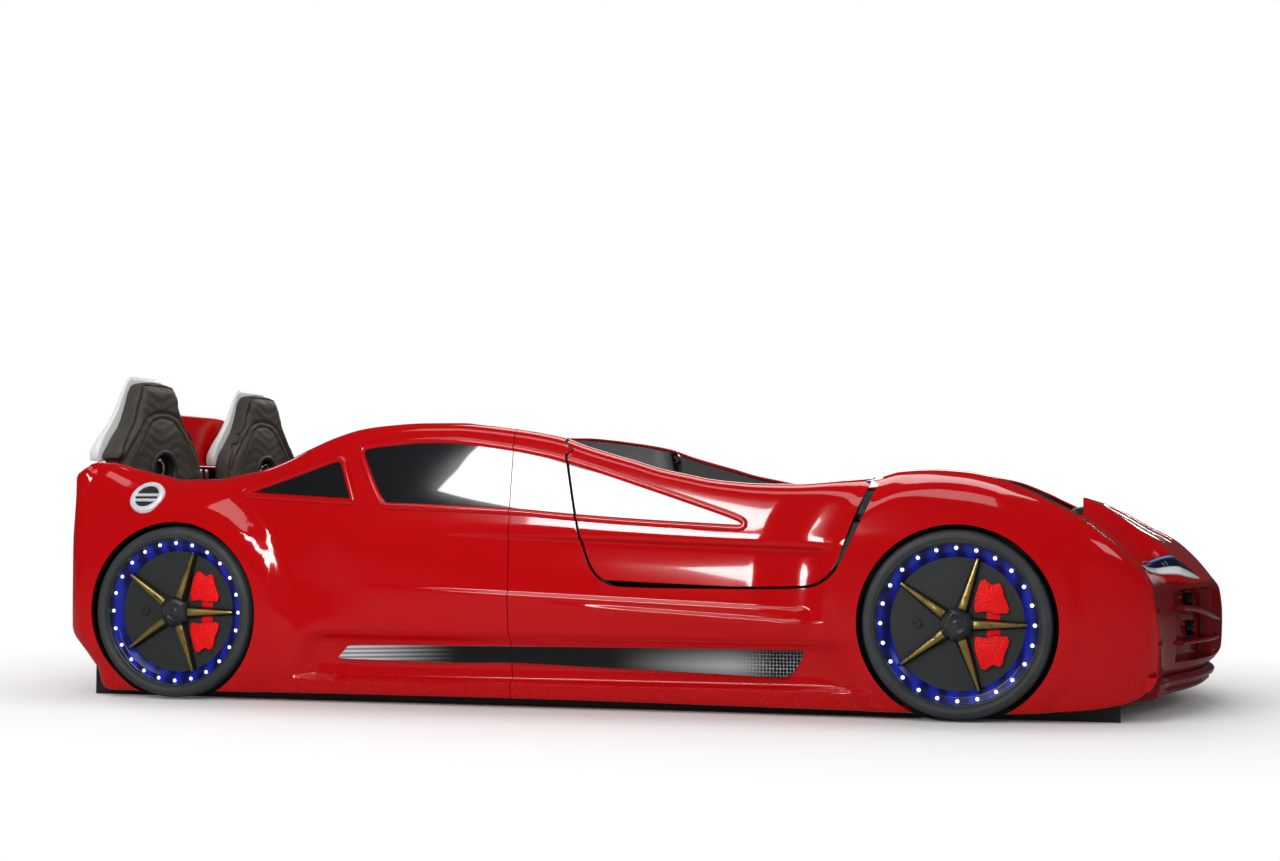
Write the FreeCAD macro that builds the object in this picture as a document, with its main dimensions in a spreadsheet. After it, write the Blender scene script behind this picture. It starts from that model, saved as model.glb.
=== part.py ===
import FreeCAD, Part
import math
import os
import Sketcher
from FreeCAD import Placement, Rotation, Vector

# Children's bed shaped like a low sports car.  Millimetres, +X is the front
# of the car, +Z is up, the origin is on the floor below the middle of the bed.
# The right side (-Y) is modelled and mirrored to the left side (+Y).

doc = FreeCAD.newDocument("CarBed")
sheet = doc.addObject("Spreadsheet::Sheet", "Sizes")

SIZES = {
    # overall
    "halfLength": 1193.0,      # middle of the bed to the rear end and to the nose
    "halfWidth": 540.0,        # widest line of the painted side shells
    "skin": 4.0,               # vacuum-formed shell
    "seatGap": 0.3,            # parts that sit on each other
    # carcass of painted board
    "shellDepth": 70.0,        # widest line of the shells to the side boards' outer face
    "boardThick": 18.0,
    "tailDepth": 37.0,         # rear face of the tail to the rear board
    "noseDepth": 293.0,        # nose to the well side of the front board
    "boardAhead": 85.0,        # side boards' front end ahead of that
    "rearBoardTop": 438.0,
    "frontBoardTop": 400.0,
    "ledgeSize": 30.0,
    "slatTop": 225.0,
    "slatThick": 18.0,
    "slatWidth": 68.0,
    "slatRearGap": 45.0,
    "slatFrontGap": 99.0,
    "slatCount": 14,
    "battenWidth": 40.0,
    "battenThick": 12.0,
    # side outline
    "tailHeight": 497.0,
    "dipHeight": 460.0,
    "roofHeight": 574.0,
    "roofBehindDoor": 276.0,
    "railHeight": 447.0,
    "fenderHeight": 475.0,
    "sillHeight": 16.0,
    "seamBehindDoor": 111.0,
    "seamGap": 1.0,
    "noseOverlap": 139.0,      # nose to the front of the fender
    # wheels
    "rearOverhang": 255.5,     # tail to the rear axle
    "frontOverhang": 504.5,    # nose to the front axle
    "axleHeight": 182.0,
    "tyreRadius": 179.0,
    "tyreFace": 75.0,          # board face to the tyre's outer face
    "rimRadius": 152.0,
    "lightInner": 138.0,
    "lightOuter": 149.5,
    "rimFace": 46.0,
    "hubRadius": 27.0,
    "archGap": 9.0,
    "beadRadius": 3.2,
    # door
    "doorLength": 614.0,
    "doorBehindAxle": 158.5,   # front edge of the door behind the front axle
    "doorBottom": 249.0,
    "doorGap": 12.0,
    "hingeSetback": 10.0,      # behind the door's front edge
    "hingeOut": 38.0,          # out from the side board
    "hingeLow": 360.0,
    "knuckleHeight": 12.0,
    "knuckleRadius": 8.0,
    "pinRadius": 4.0,
    "pinFit": 0.05,
    "armThick": 6.0,
    "ribWidth": 12.0,
    # glazing panels
    "glassThick": 3.0,
    "glassLap": 14.0,
    "filmThick": 1.5,
    # nose
    "hoodHeight": 421.0,
    "noseSkin": 5.0,
    "grilleLow": 108.0,
    "grilleHigh": 238.0,
    "lipLow": 31.0,
    "lipHigh": 80.0,
    # seats
    "seatTop": 693.0,
    "seatSideGap": 3.0,        # pad to the side board
    "seatFootIn": 16.0,        # the pad's foot is narrower than the shell
    "seatHalfBase": 200.0,
    "seatHalfTop": 84.0,
    "seatSetback": 7.0,        # tail's rear face to the back of the shells
    "shellThick": 30.0,
    "padThick": 40.0,
    "panelTop": 620.0,
    "panelHalf": 215.0,
    "panelThick": 10.0,
    # lighting control
    "boxY": 300.0,
    "boxZ": 200.0,
    "boxHalfWidth": 42.0,
    "boxHalfHeight": 24.0,
    "rockerWidth": 16.0,
    "rockerLength": 26.0,
    "rockerFit": 0.6,
    "inletRadius": 6.0,
    # trims
    "plateThick": 2.0,
    "capRadius": 40.0,
    "capThick": 4.0,
    "lampProud": 6.0,
}

for row, (alias, number) in enumerate(SIZES.items(), start=1):
    sheet.set("A%d" % row, alias)
    sheet.set("B%d" % row, str(number))
    sheet.setAlias("B%d" % row, alias)
doc.recompute()


class Dim:
    """A length that knows its number and its spreadsheet expression."""

    def __init__(self, value, text):
        self.value = float(value)
        self.text = text

    def __add__(self, other):
        other = as_dim(other)
        return Dim(self.value + other.value, "(%s + %s)" % (self.text, other.text))

    def __radd__(self, other):
        return as_dim(other) + self

    def __sub__(self, other):
        other = as_dim(other)
        return Dim(self.value - other.value, "(%s - %s)" % (self.text, other.text))

    def __rsub__(self, other):
        return as_dim(other) - self

    def __mul__(self, factor):
        return Dim(self.value * factor, "(%s * %.6f)" % (self.text, factor))

    __rmul__ = __mul__

    def __neg__(self):
        return Dim(-self.value, "(-1 * %s)" % self.text)


def as_dim(number):
    if isinstance(number, Dim):
        return number
    return Dim(number, "(%.6f)" % number)


def size(alias):
    return Dim(sheet.get(alias), "Sizes.%s" % alias)


parts = {}


def bind(thing, prop, dim):
    dim = as_dim(dim)
    thing.setExpression(prop, dim.text)


def place(thing, x=0, y=0, z=0):
    thing.Placement = Placement(Vector(as_dim(x).value, as_dim(y).value, as_dim(z).value), Rotation())
    for axis, dim in zip("xyz", (x, y, z)):
        bind(thing, "Placement.Base." + axis, dim)


def origin_feature(body, role):
    return next(f for f in body.Origin.OriginFeatures if f.Role == role)


def new_body(label):
    body = doc.addObject("PartDesign::Body", label)
    body.Label = label
    return body


def outline(body, name, plane, points, start=0):
    sketch = body.newObject("Sketcher::SketchObject", name)
    sketch.AttachmentSupport = [(origin_feature(body, plane), "")]
    sketch.MapMode = "FlatFace"
    sketch.AttachmentOffset = Placement(Vector(0, 0, as_dim(start).value), Rotation())
    bind(sketch, "AttachmentOffset.Base.z", start)
    dims = [(as_dim(a), as_dim(b)) for a, b in points]
    corners = [Vector(a.value, b.value, 0) for a, b in dims]
    count = len(corners)
    for i in range(count):
        sketch.addGeometry(Part.LineSegment(corners[i], corners[(i + 1) % count]))
    for i in range(count):
        sketch.addConstraint(Sketcher.Constraint("Coincident", i, 2, (i + 1) % count, 1))
    for i, (a, b) in enumerate(dims):
        first = sketch.addConstraint(Sketcher.Constraint("DistanceX", -1, 1, i, 1, a.value))
        second = sketch.addConstraint(Sketcher.Constraint("DistanceY", -1, 1, i, 1, b.value))
        bind(sketch, "Constraints[%d]" % first, a)
        bind(sketch, "Constraints[%d]" % second, b)
    return sketch


def pad(body, name, sketch, length):
    feature = body.newObject("PartDesign::Pad", name)
    feature.Profile = sketch
    bind(feature, "Length", length)
    body.Tip = feature
    return feature


def prism(label, plane, points, start, length):
    body = new_body(label)
    sketch = outline(body, label + "Outline", plane, points, start)
    pad(body, label + "Pad", sketch, length)
    return body


def box(label, x0, x1, y0, y1, z0, z1):
    solid = doc.addObject("Part::Box", label)
    solid.Label = label
    bind(solid, "Length", as_dim(x1) - x0)
    bind(solid, "Width", as_dim(y1) - y0)
    bind(solid, "Height", as_dim(z1) - z0)
    place(solid, x0, y0, z0)
    return solid


def cylinder(label, radius, height, x, y, z, turn=None):
    solid = doc.addObject("Part::Cylinder", label)
    solid.Label = label
    bind(solid, "Radius", radius)
    bind(solid, "Height", height)
    place(solid, x, y, z)
    if turn is not None:
        solid.Placement = Placement(solid.Placement.Base, turn)
    return solid


def cut(label, base, tool):
    result = doc.addObject("Part::Cut", label)
    result.Label = label
    result.Base = base
    result.Tool = tool
    return result


def common(label, first, second):
    result = doc.addObject("Part::Common", label)
    result.Label = label
    result.Base = first
    result.Tool = second
    return result


def fuse(label, pieces):
    result = doc.addObject("Part::MultiFuse", label)
    result.Label = label
    result.Shapes = pieces
    result.Refine = True
    return result


def mirrored(label, source):
    result = doc.addObject("Part::Mirroring", label)
    result.Label = label
    result.Source = source
    result.Base = Vector(0, 0, 0)
    result.Normal = Vector(0, 1, 0)
    return result


def keep(node, thing, both=False):
    parts[node] = thing
    if both:
        twin = node[:-2] + "_l"
        parts[twin] = mirrored(twin + "_mirror", thing)


# ---- values used by several pieces ----
rear_x = -(size("halfLength") - size("lampProud"))
nose_x = size("halfLength")
half_width = size("halfWidth")
skin = size("skin")
gap = size("seatGap")
face = half_width - size("shellDepth")
board = size("boardThick")
inner = face - board
rear_axle = rear_x + size("rearOverhang")
front_axle = nose_x - size("frontOverhang")
tail_board = rear_x + size("tailDepth")
well_rear = tail_board + board
well_front = nose_x - size("noseDepth")
board_end = well_front + size("boardAhead")
axle_z = size("axleHeight")
roof = size("roofHeight")
rail = size("railHeight")
fender = size("fenderHeight")
tail = size("tailHeight")
dip = size("dipHeight")
sill = size("sillHeight")
corner = nose_x - size("noseOverlap")
door_front = front_axle - size("doorBehindAxle")
door_rear = door_front - size("doorLength")
roof_x = door_rear - size("roofBehindDoor")
seam = door_rear - size("seamBehindDoor")
door_low = size("doorBottom")
door_gap = size("doorGap")


def aft(share):
    """A place between the rear axle and the highest point of the roof."""
    return rear_axle + (roof_x - rear_axle) * share


def fore(share):
    """A place between the highest point of the roof and the door's rear edge."""
    return roof_x + (door_rear - roof_x) * share


def rail_line(drop):
    """Top edge of a side, from the tail to the front of the fender."""
    return [
        (rear_x + 10, tail - 10 - drop),
        (rear_x + 30, tail - drop),
        (rear_x + 70, tail - drop),
        (rear_axle - 130, tail - 14 - drop),
        (rear_axle - 68, dip + 9 - drop),
        (rear_axle - 20, dip - drop),
        (aft(0.0892), dip - drop),
        (aft(0.1925), dip + 8 - drop),
        (aft(0.2975), dip + 19 - drop),
        (aft(0.3990), dip + 37 - drop),
        (aft(0.4996), roof - 51 - drop),
        (aft(0.6010), roof - 27 - drop),
        (aft(0.7008), roof - 11 - drop),
        (aft(0.8005), roof - 4 - drop),
        (aft(0.9300), roof - drop),
        (fore(0.1486), roof - drop),
        (fore(0.3478), roof - 5 - drop),
        (fore(0.7428), roof - 20 - drop),
        (fore(0.9384), roof - 31 - drop),
        (door_rear + 37, rail + 77 - drop),
        (door_rear + 90, rail + 61 - drop),
        (door_rear + 196, rail + 30 - drop),
        (door_rear + 248, rail + 19 - drop),
        (door_rear + 299, rail + 9 - drop),
        (door_rear + 386, rail + 1 - drop),
        (door_front - 149, rail - drop),
        (door_front - 70, rail + 6 - drop),
        (door_front + 2, rail + 13 - drop),
        (front_axle - 112, fender - 3 - drop),
        (front_axle - 52, fender - drop),
        (front_axle + 10, fender - 4 - drop),
        (front_axle + 70, fender - 16 - drop),
        (front_axle + 129, fender - 39 - drop),
        (front_axle + 188, fender - 67 - drop),
    ]


def side_outline(lap):
    """Whole side seen from the side; lap shrinks it for the hollow inside."""
    return [(rear_x + lap, axle_z - 45), (rear_x + lap, tail - 25 - lap)] + rail_line(lap) + [
        (corner - 132, fender - 90 - lap),
        (corner - 75, fender - 132 - lap),
        (corner - 41, fender - 167 - lap),
        (corner - 12 - lap, fender - 210 - lap),
        (corner - 2 - lap, axle_z + 26),
        (corner - lap, axle_z - 47),
        (corner - 4 - lap, sill + 44 - lap),
        (corner - 54, sill + 19 - lap),
        (front_axle + 212, sill + 6 - lap),
        (front_axle, sill - 5 - lap),
        (seam, sill + 2 - lap),
        (rear_axle + 100, sill - lap),
        (rear_x + 86, sill - 3 - lap),
        (rear_x + 72 + lap, sill + 5),
        (rear_x + 59 + lap, sill + 46),
    ]


def cross_section(inset):
    """Outer face of the right side seen from the rear, out to the left."""
    limit = inner + gap - inset
    return [
        (-limit, -40), (-limit, roof + 60),
        (-(half_width - 56 - inset), roof + 60),
        (-(half_width - 50 - inset), roof),
        (-(half_width - 28 - inset), roof - 114),
        (-(half_width - 13 - inset), roof - 174),
        (-(half_width - inset), roof - 244),
        (-(half_width - inset), roof - 324),
        (-(half_width - 4 - inset), axle_z - 2),
        (-(half_width - 26 - inset), axle_z - 50),
        (-(half_width - 26 - inset), axle_z - 122),
        (-(half_width - 34 - inset), -40),
    ]


def plan_outline(lap):
    """Right side seen from above, with the turned-in rear and front corners."""
    return [
        (rear_x + lap, -(inner - 20)), (rear_x + lap, -(half_width - 62)),
        (rear_x + 12 + lap, -(half_width - 28 - lap)),
        (rear_x + 42 + lap, -(half_width - 7 - lap)),
        (rear_x + 90, -(half_width + 5 - lap)),
        (front_axle + 170, -(half_width + 5 - lap)),
        (corner - 94 - lap, -(half_width - 18 - lap)),
        (corner - 34 - lap, -(half_width - 44 - lap)),
        (corner - 4 - lap, -(half_width - 70 - lap)),
        (corner + 6 - lap, -(inner - 20)),
    ]


# ---- right side shell: one hollow skin, later cut into panels ----
side_pad = prism("SideOuter", "XZ_Plane", side_outline(0), inner, half_width - inner + 10)
section_pad = prism("SectionOuter", "YZ_Plane", cross_section(0), rear_x - 20, nose_x - rear_x + 40)
plan_pad = prism("PlanOuter", "XY_Plane", plan_outline(0), -20, roof + 100)
side_hollow = prism("SideInner", "XZ_Plane", side_outline(skin), inner - 30, half_width - inner + 40)
section_hollow = prism("SectionInner", "YZ_Plane", cross_section(skin), rear_x - 20, nose_x - rear_x + 40)
plan_hollow = prism("PlanInner", "XY_Plane", plan_outline(skin), -20, roof + 100)
outer = common("OuterForm", common("OuterPair", side_pad, section_pad), plan_pad)
hollow = common("InnerForm", common("InnerPair", side_hollow, section_hollow), plan_hollow)
skin_all = cut("SideSkinRaw", outer, hollow)
board_room = box("BoardRoom", tail_board - gap, board_end + gap,
                 -(face + gap), -(inner - 40), -50, roof + 100)
arch_radius = size("tyreRadius") + size("archGap")
half_turn = Rotation(Vector(1, 0, 0), 90)
arch_rear = cylinder("ArchRear", arch_radius, 400, rear_axle, -(inner - 60), axle_z, half_turn)
arch_front = cylinder("ArchFront", arch_radius, 400, front_axle, -(inner - 60), axle_z, half_turn)
side_skin = cut("SideSkin", skin_all, fuse("SideCuts", [board_room, arch_rear, arch_front]))


def door_outline(grow):
    """Door seen from the side; grow widens it for the opening in the shell."""
    return [
        (door_rear - grow, roof + 60),
        (door_rear - grow, rail + 82),
        (door_rear + 10 - grow, rail + 29),
        (door_rear + 31 - grow, rail - 71),
        (door_rear + 46 - grow, door_low + 71),
        (door_rear + 66 - grow, door_low + 27 - grow * 0.5),
        (door_rear + 91 - grow, door_low + 8 - grow),
        (door_rear + 120, door_low - grow),
        (door_front - 135, door_low - grow),
        (door_front - 102 + grow, door_low + 10 - grow),
        (door_front - 75 + grow, door_low + 31 - grow * 0.5),
        (door_front - 55 + grow, door_low + 73),
        (door_front - 31 + grow, rail - 61),
        (door_front - 12 + grow, rail - 17),
        (door_front + grow, rail + 10),
        (door_front + 4 + grow, roof + 60),
    ]


def quarter_window(lap):
    return [
        (aft(0.2397) - lap, dip - 30),
        (aft(0.3080) - lap, dip - 13 + lap),
        (aft(0.6238), roof - 66 + lap),
        (aft(0.6518), roof - 68 + lap),
        (aft(0.7113) + lap, roof - 163),
        (aft(0.7043) + lap, roof - 166 - lap),
        (aft(0.2590) - lap, dip - 36 - lap),
    ]


def main_window(lap):
    return [
        (aft(0.6850) - lap, roof - 50),
        (aft(0.7445) - lap, roof - 40 + lap * 0.4),
        (aft(0.9283), roof - 30 + lap * 0.6),
        (fore(0.1667), roof - 31 + lap * 0.6),
        (fore(0.6159), roof - 49 + lap * 0.6),
        (door_rear + 4, rail + 57 + lap * 0.6),
        (door_rear + 159, rail + 6 + lap),
        (door_rear + 365 + lap, rail - 63 + lap),
        (door_rear + 377 + lap, rail - 77),
        (door_rear + 371 + lap, rail - 88 - lap),
        (door_rear + 351, rail - 90 - lap),
        (door_rear + 149, rail - 79 - lap),
        (door_rear + 14, rail - 69 - lap),
        (fore(0.5906), roof - 183 - lap),
        (aft(0.8530), roof - 174 - lap),
        (aft(0.7988) - lap, roof - 174 - lap),
    ]


window_reach = half_width - inner + 40
quarter_hole = prism("QuarterHole", "XZ_Plane", quarter_window(0), inner + 25, window_reach)
main_hole = prism("MainHole", "XZ_Plane", main_window(0), inner + 25, window_reach)
skin_open = cut("SideSkinOpen", side_skin, fuse("WindowHoles", [quarter_hole, main_hole]))
seam_half = size("seamGap") * 0.5
room_y0 = -(half_width + 60)
room_y1 = -(inner - 60)
rear_room = box("RearRoom", rear_x - 50, seam - seam_half, room_y0, room_y1, -60, roof + 90)
front_room = box("FrontRoom", seam + seam_half, nose_x + 50, room_y0, room_y1, -60, roof + 90)
door_hole = prism("DoorHole", "XZ_Plane", door_outline(door_gap), inner - 60, half_width - inner + 120)
door_form = prism("DoorForm", "XZ_Plane", door_outline(0), inner - 60, half_width - inner + 120)
keep("side_rear_r", common("side_rear_shell", skin_open, rear_room), both=True)
keep("side_front_r", cut("side_front_shell", common("FrontHalf", side_skin, front_room), door_hole), both=True)
keep("door_skin_r", common("door_shell", skin_open, door_form), both=True)

# ---- black glazing panels behind the window openings ----
lap = size("glassLap")
glass_in = skin + gap
glass_outer = prism("GlassOuter", "YZ_Plane", cross_section(glass_in), rear_x, nose_x - rear_x)
glass_inner = prism("GlassInner", "YZ_Plane", cross_section(glass_in + size("glassThick")), rear_x,
                    nose_x - rear_x)
glass_sheet = cut("GlassSheet", glass_outer, glass_inner)
glass_area = fuse("GlassArea", [
    prism("QuarterGlass", "XZ_Plane", quarter_window(lap), inner + 22, window_reach),
    prism("MainGlass", "XZ_Plane", main_window(lap), inner + 22, window_reach),
    box("PillarGlass", aft(0.6413), aft(0.7900), -(half_width + 10), -(inner + 22), roof - 165,
        roof - 90),
])
glass_all = common("GlassAll", glass_sheet, glass_area)
film_outer = prism("FilmOuter", "YZ_Plane", cross_section(-gap - size("filmThick")), rear_x, nose_x - rear_x)
film_inner = prism("FilmInner", "YZ_Plane", cross_section(-gap), rear_x, nose_x - rear_x)
film_all = common("FilmAll", cut("FilmSheet", film_outer, film_inner), main_hole)
pane_gap = 4
pane_rear = box("PaneRear", rear_x, seam - pane_gap, room_y0, room_y1, 0, roof + 90)
pane_mid = box("PaneMid", seam + 1, door_rear + 200, room_y0, room_y1, 0, roof + 90)
pane_inset = prism("PaneInset", "XZ_Plane", door_outline(-4), inner - 60, half_width - inner + 120)
pane_clear = prism("PaneClear", "XZ_Plane", door_outline(door_gap + 1), inner - 60, half_width - inner + 120)
keep("glass_rear_r", common("glass_rear_panel", glass_all, pane_rear), both=True)
keep("glass_mid_r", cut("glass_mid_panel", common("GlassMid", film_all, pane_mid), pane_clear), both=True)
keep("glass_door_r", common("glass_door_panel", glass_all, pane_inset), both=True)

# ---- carcass: side boards with a door notch, end boards, ledges, slats ----
drop = skin + 2
side_points = [(tail_board, 0), (tail_board, tail - 8 - drop)] + rail_line(drop)[2:-1] + [
    (board_end - 110, fender - 72 - drop),
    (board_end, fender - 140 - drop), (board_end, 0)]
side_board = prism("SideBoardBlank", "XZ_Plane", side_points, inner, board)
keep("side_board_r", cut("side_board_panel", side_board, door_hole), both=True)
keep("rear_board", box("rear_board_panel", tail_board, well_rear, -inner, inner, 0,
                       size("rearBoardTop")))
keep("front_board", box("front_board_panel", well_front, well_front + board, -inner,
                        inner, 0, size("frontBoardTop")))
batten_low = size("slatTop") - size("slatThick") - size("battenThick")
keep("ledge_r", box("ledge_strip", well_rear, well_front, -inner,
                    -(inner - size("ledgeSize")), batten_low - size("ledgeSize"), batten_low), both=True)

slats = new_body("slat_base_body")
half_slat = inner - 2
slat_start = well_rear + size("slatRearGap")
slats_length = well_front - size("slatFrontGap") - slat_start
slats_travel = slats_length - size("slatWidth")
slat_low = size("slatTop") - size("slatThick")
slat_sketch = outline(slats, "SlatOutline", "XY_Plane", [
    (slat_start, -half_slat), (slat_start + size("slatWidth"), -half_slat),
    (slat_start + size("slatWidth"), half_slat), (slat_start, half_slat)], slat_low)
slat_pad = pad(slats, "Slat", slat_sketch, size("slatThick"))
pattern = slats.newObject("PartDesign::LinearPattern", "SlatPattern")
pattern.Originals = [slat_pad]
pattern.Direction = (origin_feature(slats, "X_Axis"), [""])
pattern.Length = slats_travel.value
pattern.Occurrences = 14
pattern.setExpression("Occurrences", "Sizes.slatCount")
pattern.setExpression("Length", slats_travel.text)
slats.Tip = pattern
battens = [box("Batten%d" % i, slat_start - 6, slat_start + slats_length + 6, y0, y1,
               batten_low, slat_low)
           for i, (y0, y1) in enumerate([(-half_slat, -(half_slat - size("battenWidth"))),
                                         (size("battenWidth") * -0.5, size("battenWidth") * 0.5),
                                         (half_slat - size("battenWidth"), half_slat)])]
keep("slat_base", fuse("slat_base_frame", [slats] + battens))

# ---- rear panel: a hollow tail between the side shells ----
tail_points = [(rear_x, axle_z - 45), (rear_x, tail - 25), (rear_x + 10, tail - 10),
               (rear_x + 30, tail), (tail_board - 2, tail), (tail_board - 2, sill + 5),
               (rear_x + 34, sill + 5), (rear_x + 26, sill + 46)]
tail_hollow = [(rear_x + skin, axle_z - 44), (rear_x + skin, tail - 26), (rear_x + 12, tail - 10 - skin),
               (rear_x + 30, tail - skin), (tail_board + 20, tail - skin), (tail_board + 20, sill - 20),
               (rear_x + 34 + skin, sill - 20), (rear_x + 26 + skin, sill + 46)]
half_tail = inner
tail_solid = prism("TailSolid", "XZ_Plane", tail_points, -half_tail, half_tail * 2)
tail_room = prism("TailRoom", "XZ_Plane", tail_hollow, -(half_tail - skin), (half_tail - skin) * 2)
box_x0 = rear_x + 1.5
box_y = size("boxY")
box_z = size("boxZ")
box_w = size("boxHalfWidth")
box_h = size("boxHalfHeight")
control_hole = box("ControlHole", rear_x - 5, rear_x + 20, box_y - box_w - gap, box_y + box_w + gap,
                   box_z - box_h - gap, box_z + box_h + gap)
keep("rear_panel", cut("rear_panel_shell", tail_solid, fuse("TailCuts", [tail_room, control_hole])))

# tail lamps: clear red blocks on the rear face, kept inside the tail's corner
lamp_w = 95
lamp = prism("tail_lamp_body", "YZ_Plane", [
    (-(inner - 40), tail - 110), (-(inner - 40), tail - 68),
    (-(inner - 40 - lamp_w), tail - 74), (-(inner - 30 - lamp_w), tail - 104)],
    rear_x - size("lampProud"), size("lampProud") - gap)
keep("tail_lamp_r", lamp, both=True)

# ---- wheels: moulded covers standing off the side board ----


def wheel(prefix, axle):
    base = -face
    cover = new_body(prefix + "_cover_body")
    tyre = size("tyreRadius")
    depth = size("tyreFace")
    rim = size("rimFace")
    profile = outline(cover, prefix + "Profile", "XY_Plane", [
        (0.5, 0), (60, 0), (60, -28), (tyre - 8, -28), (tyre - 1, -35), (tyre, -48),
        (tyre - 1, -(depth - 12)), (tyre - 7, -(depth - 3)), (tyre - 15, -depth),
        (size("rimRadius") + 3, -(depth - 2)), (size("rimRadius"), -(depth - 8)),
        (size("rimRadius"), -(rim + 4)), (size("lightInner") - 2, -(rim + 4)),
        (size("lightInner") - 6, -rim), (0.5, -rim)])
    turn = cover.newObject("PartDesign::Revolution", prefix + "Turn")
    turn.Profile = profile
    turn.ReferenceAxis = (profile, ["V_Axis"])
    turn.Angle = 360
    cover.Tip = turn
    bore = cover.newObject("PartDesign::Pad", prefix + "Core")
    core = cover.newObject("Sketcher::SketchObject", prefix + "CoreCircle")
    core.AttachmentSupport = [(origin_feature(cover, "XZ_Plane"), "")]
    core.MapMode = "FlatFace"
    core.addGeometry(Part.Circle(Vector(0, 0, 0), Vector(0, 0, 1), 5))
    core.addConstraint(Sketcher.Constraint("Coincident", 0, 3, -1, 1))
    core.addConstraint(Sketcher.Constraint("Radius", 0, 5.0))
    bore.Profile = core
    bind(bore, "Length", rim)
    cover.Tip = bore
    place(cover, axle, base, axle_z)

    ring = new_body(prefix + "_light_body")
    ring_face = rim + 4 + gap
    ring_profile = outline(ring, prefix + "RingProfile", "XY_Plane", [
        (size("lightInner"), -ring_face), (size("lightOuter"), -ring_face),
        (size("lightOuter"), -(ring_face + 5)), (size("lightOuter") - 2, -(ring_face + 7)),
        (size("lightInner") + 2, -(ring_face + 7)), (size("lightInner"), -(ring_face + 5))])
    ring_turn = ring.newObject("PartDesign::Revolution", prefix + "RingTurn")
    ring_turn.Profile = ring_profile
    ring_turn.ReferenceAxis = (ring_profile, ["V_Axis"])
    ring_turn.Angle = 360
    ring.Tip = ring_turn
    bead = ring.newObject("Sketcher::SketchObject", prefix + "BeadCircle")
    bead.AttachmentSupport = [(origin_feature(ring, "XZ_Plane"), "")]
    bead.MapMode = "FlatFace"
    bead.AttachmentOffset = Placement(Vector(0, 0, (ring_face + 6).value), Rotation())
    bind(bead, "AttachmentOffset.Base.z", ring_face + 6)
    middle = (size("lightInner") + size("lightOuter")) * 0.5
    bead.addGeometry(Part.Circle(Vector(middle.value, 0, 0), Vector(0, 0, 1), 3.2))
    bead.addConstraint(Sketcher.Constraint("PointOnObject", 0, 3, -1))
    spot = bead.addConstraint(Sketcher.Constraint("DistanceX", -1, 1, 0, 3, middle.value))
    bind(bead, "Constraints[%d]" % spot, middle)
    width = bead.addConstraint(Sketcher.Constraint("Radius", 0, 3.2))
    bind(bead, "Constraints[%d]" % width, size("beadRadius"))
    bead_pad = pad(ring, prefix + "Bead", bead, 3)
    beads = ring.newObject("PartDesign::PolarPattern", prefix + "Beads")
    beads.Originals = [bead_pad]
    beads.Axis = (origin_feature(ring, "Y_Axis"), [""])
    beads.Angle = 360
    beads.Occurrences = 24
    ring.Tip = beads
    place(ring, axle, base, axle_z)

    star = new_body(prefix + "_star_body")
    hub = size("hubRadius")
    hub_points = [(hub * math.cos(math.radians(36 + 72 * k)), hub * math.sin(math.radians(36 + 72 * k)))
                  for k in range(5)]
    hub_sketch = outline(star, prefix + "Hub", "XZ_Plane", hub_points, rim + gap)
    pad(star, prefix + "HubPad", hub_sketch, 20)
    spoke_sketch = outline(star, prefix + "Spoke", "XZ_Plane", [
        (hub * 0.5, 11), (hub * 0.5, -11), (size("lightInner") * 0.62, -12),
        (size("lightInner") - 3, -3.5), (size("lightInner") - 3, 3.5),
        (size("lightInner") * 0.62, 12)], rim + 6)
    spoke = pad(star, prefix + "SpokePad", spoke_sketch, 9)
    spokes = star.newObject("PartDesign::PolarPattern", prefix + "Spokes")
    spokes.Originals = [spoke]
    spokes.Axis = (origin_feature(star, "Y_Axis"), [""])
    spokes.Angle = 360
    spokes.Occurrences = 5
    star.Tip = spokes
    place(star, axle, base, axle_z)

    caliper = new_body(prefix + "_caliper_body")
    low = 46
    high = 104

    def sector(first, last, r0, r1, steps=4):
        turns = [first + (last - first) * k / steps for k in range(steps + 1)]
        arc = [(r1 * math.cos(math.radians(t)), r1 * math.sin(math.radians(t))) for t in turns]
        back = [(r0 * math.cos(math.radians(t)), r0 * math.sin(math.radians(t))) for t in turns[::-1]]
        return arc + back

    bridge = outline(caliper, prefix + "Bridge", "XZ_Plane", sector(-56, 56, low + 4, high - 14), rim + gap)
    pad(caliper, prefix + "BridgePad", bridge, 3.5)
    upper = outline(caliper, prefix + "Upper", "XZ_Plane", sector(14, 60, low, high), rim + gap)
    pad(caliper, prefix + "UpperPad", upper, 5.4)
    lower = outline(caliper, prefix + "Lower", "XZ_Plane", sector(-60, -14, low, high), rim + gap)
    pad(caliper, prefix + "LowerPad", lower, 5.4)
    place(caliper, axle, base, axle_z)

    keep(prefix + "_cover_r", cover, both=True)
    keep(prefix + "_light_r", ring, both=True)
    keep(prefix + "_star_r", star, both=True)
    keep(prefix + "_caliper_r", caliper, both=True)


wheel("wheel_rear", rear_axle)
wheel("wheel_front", front_axle)

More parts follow.
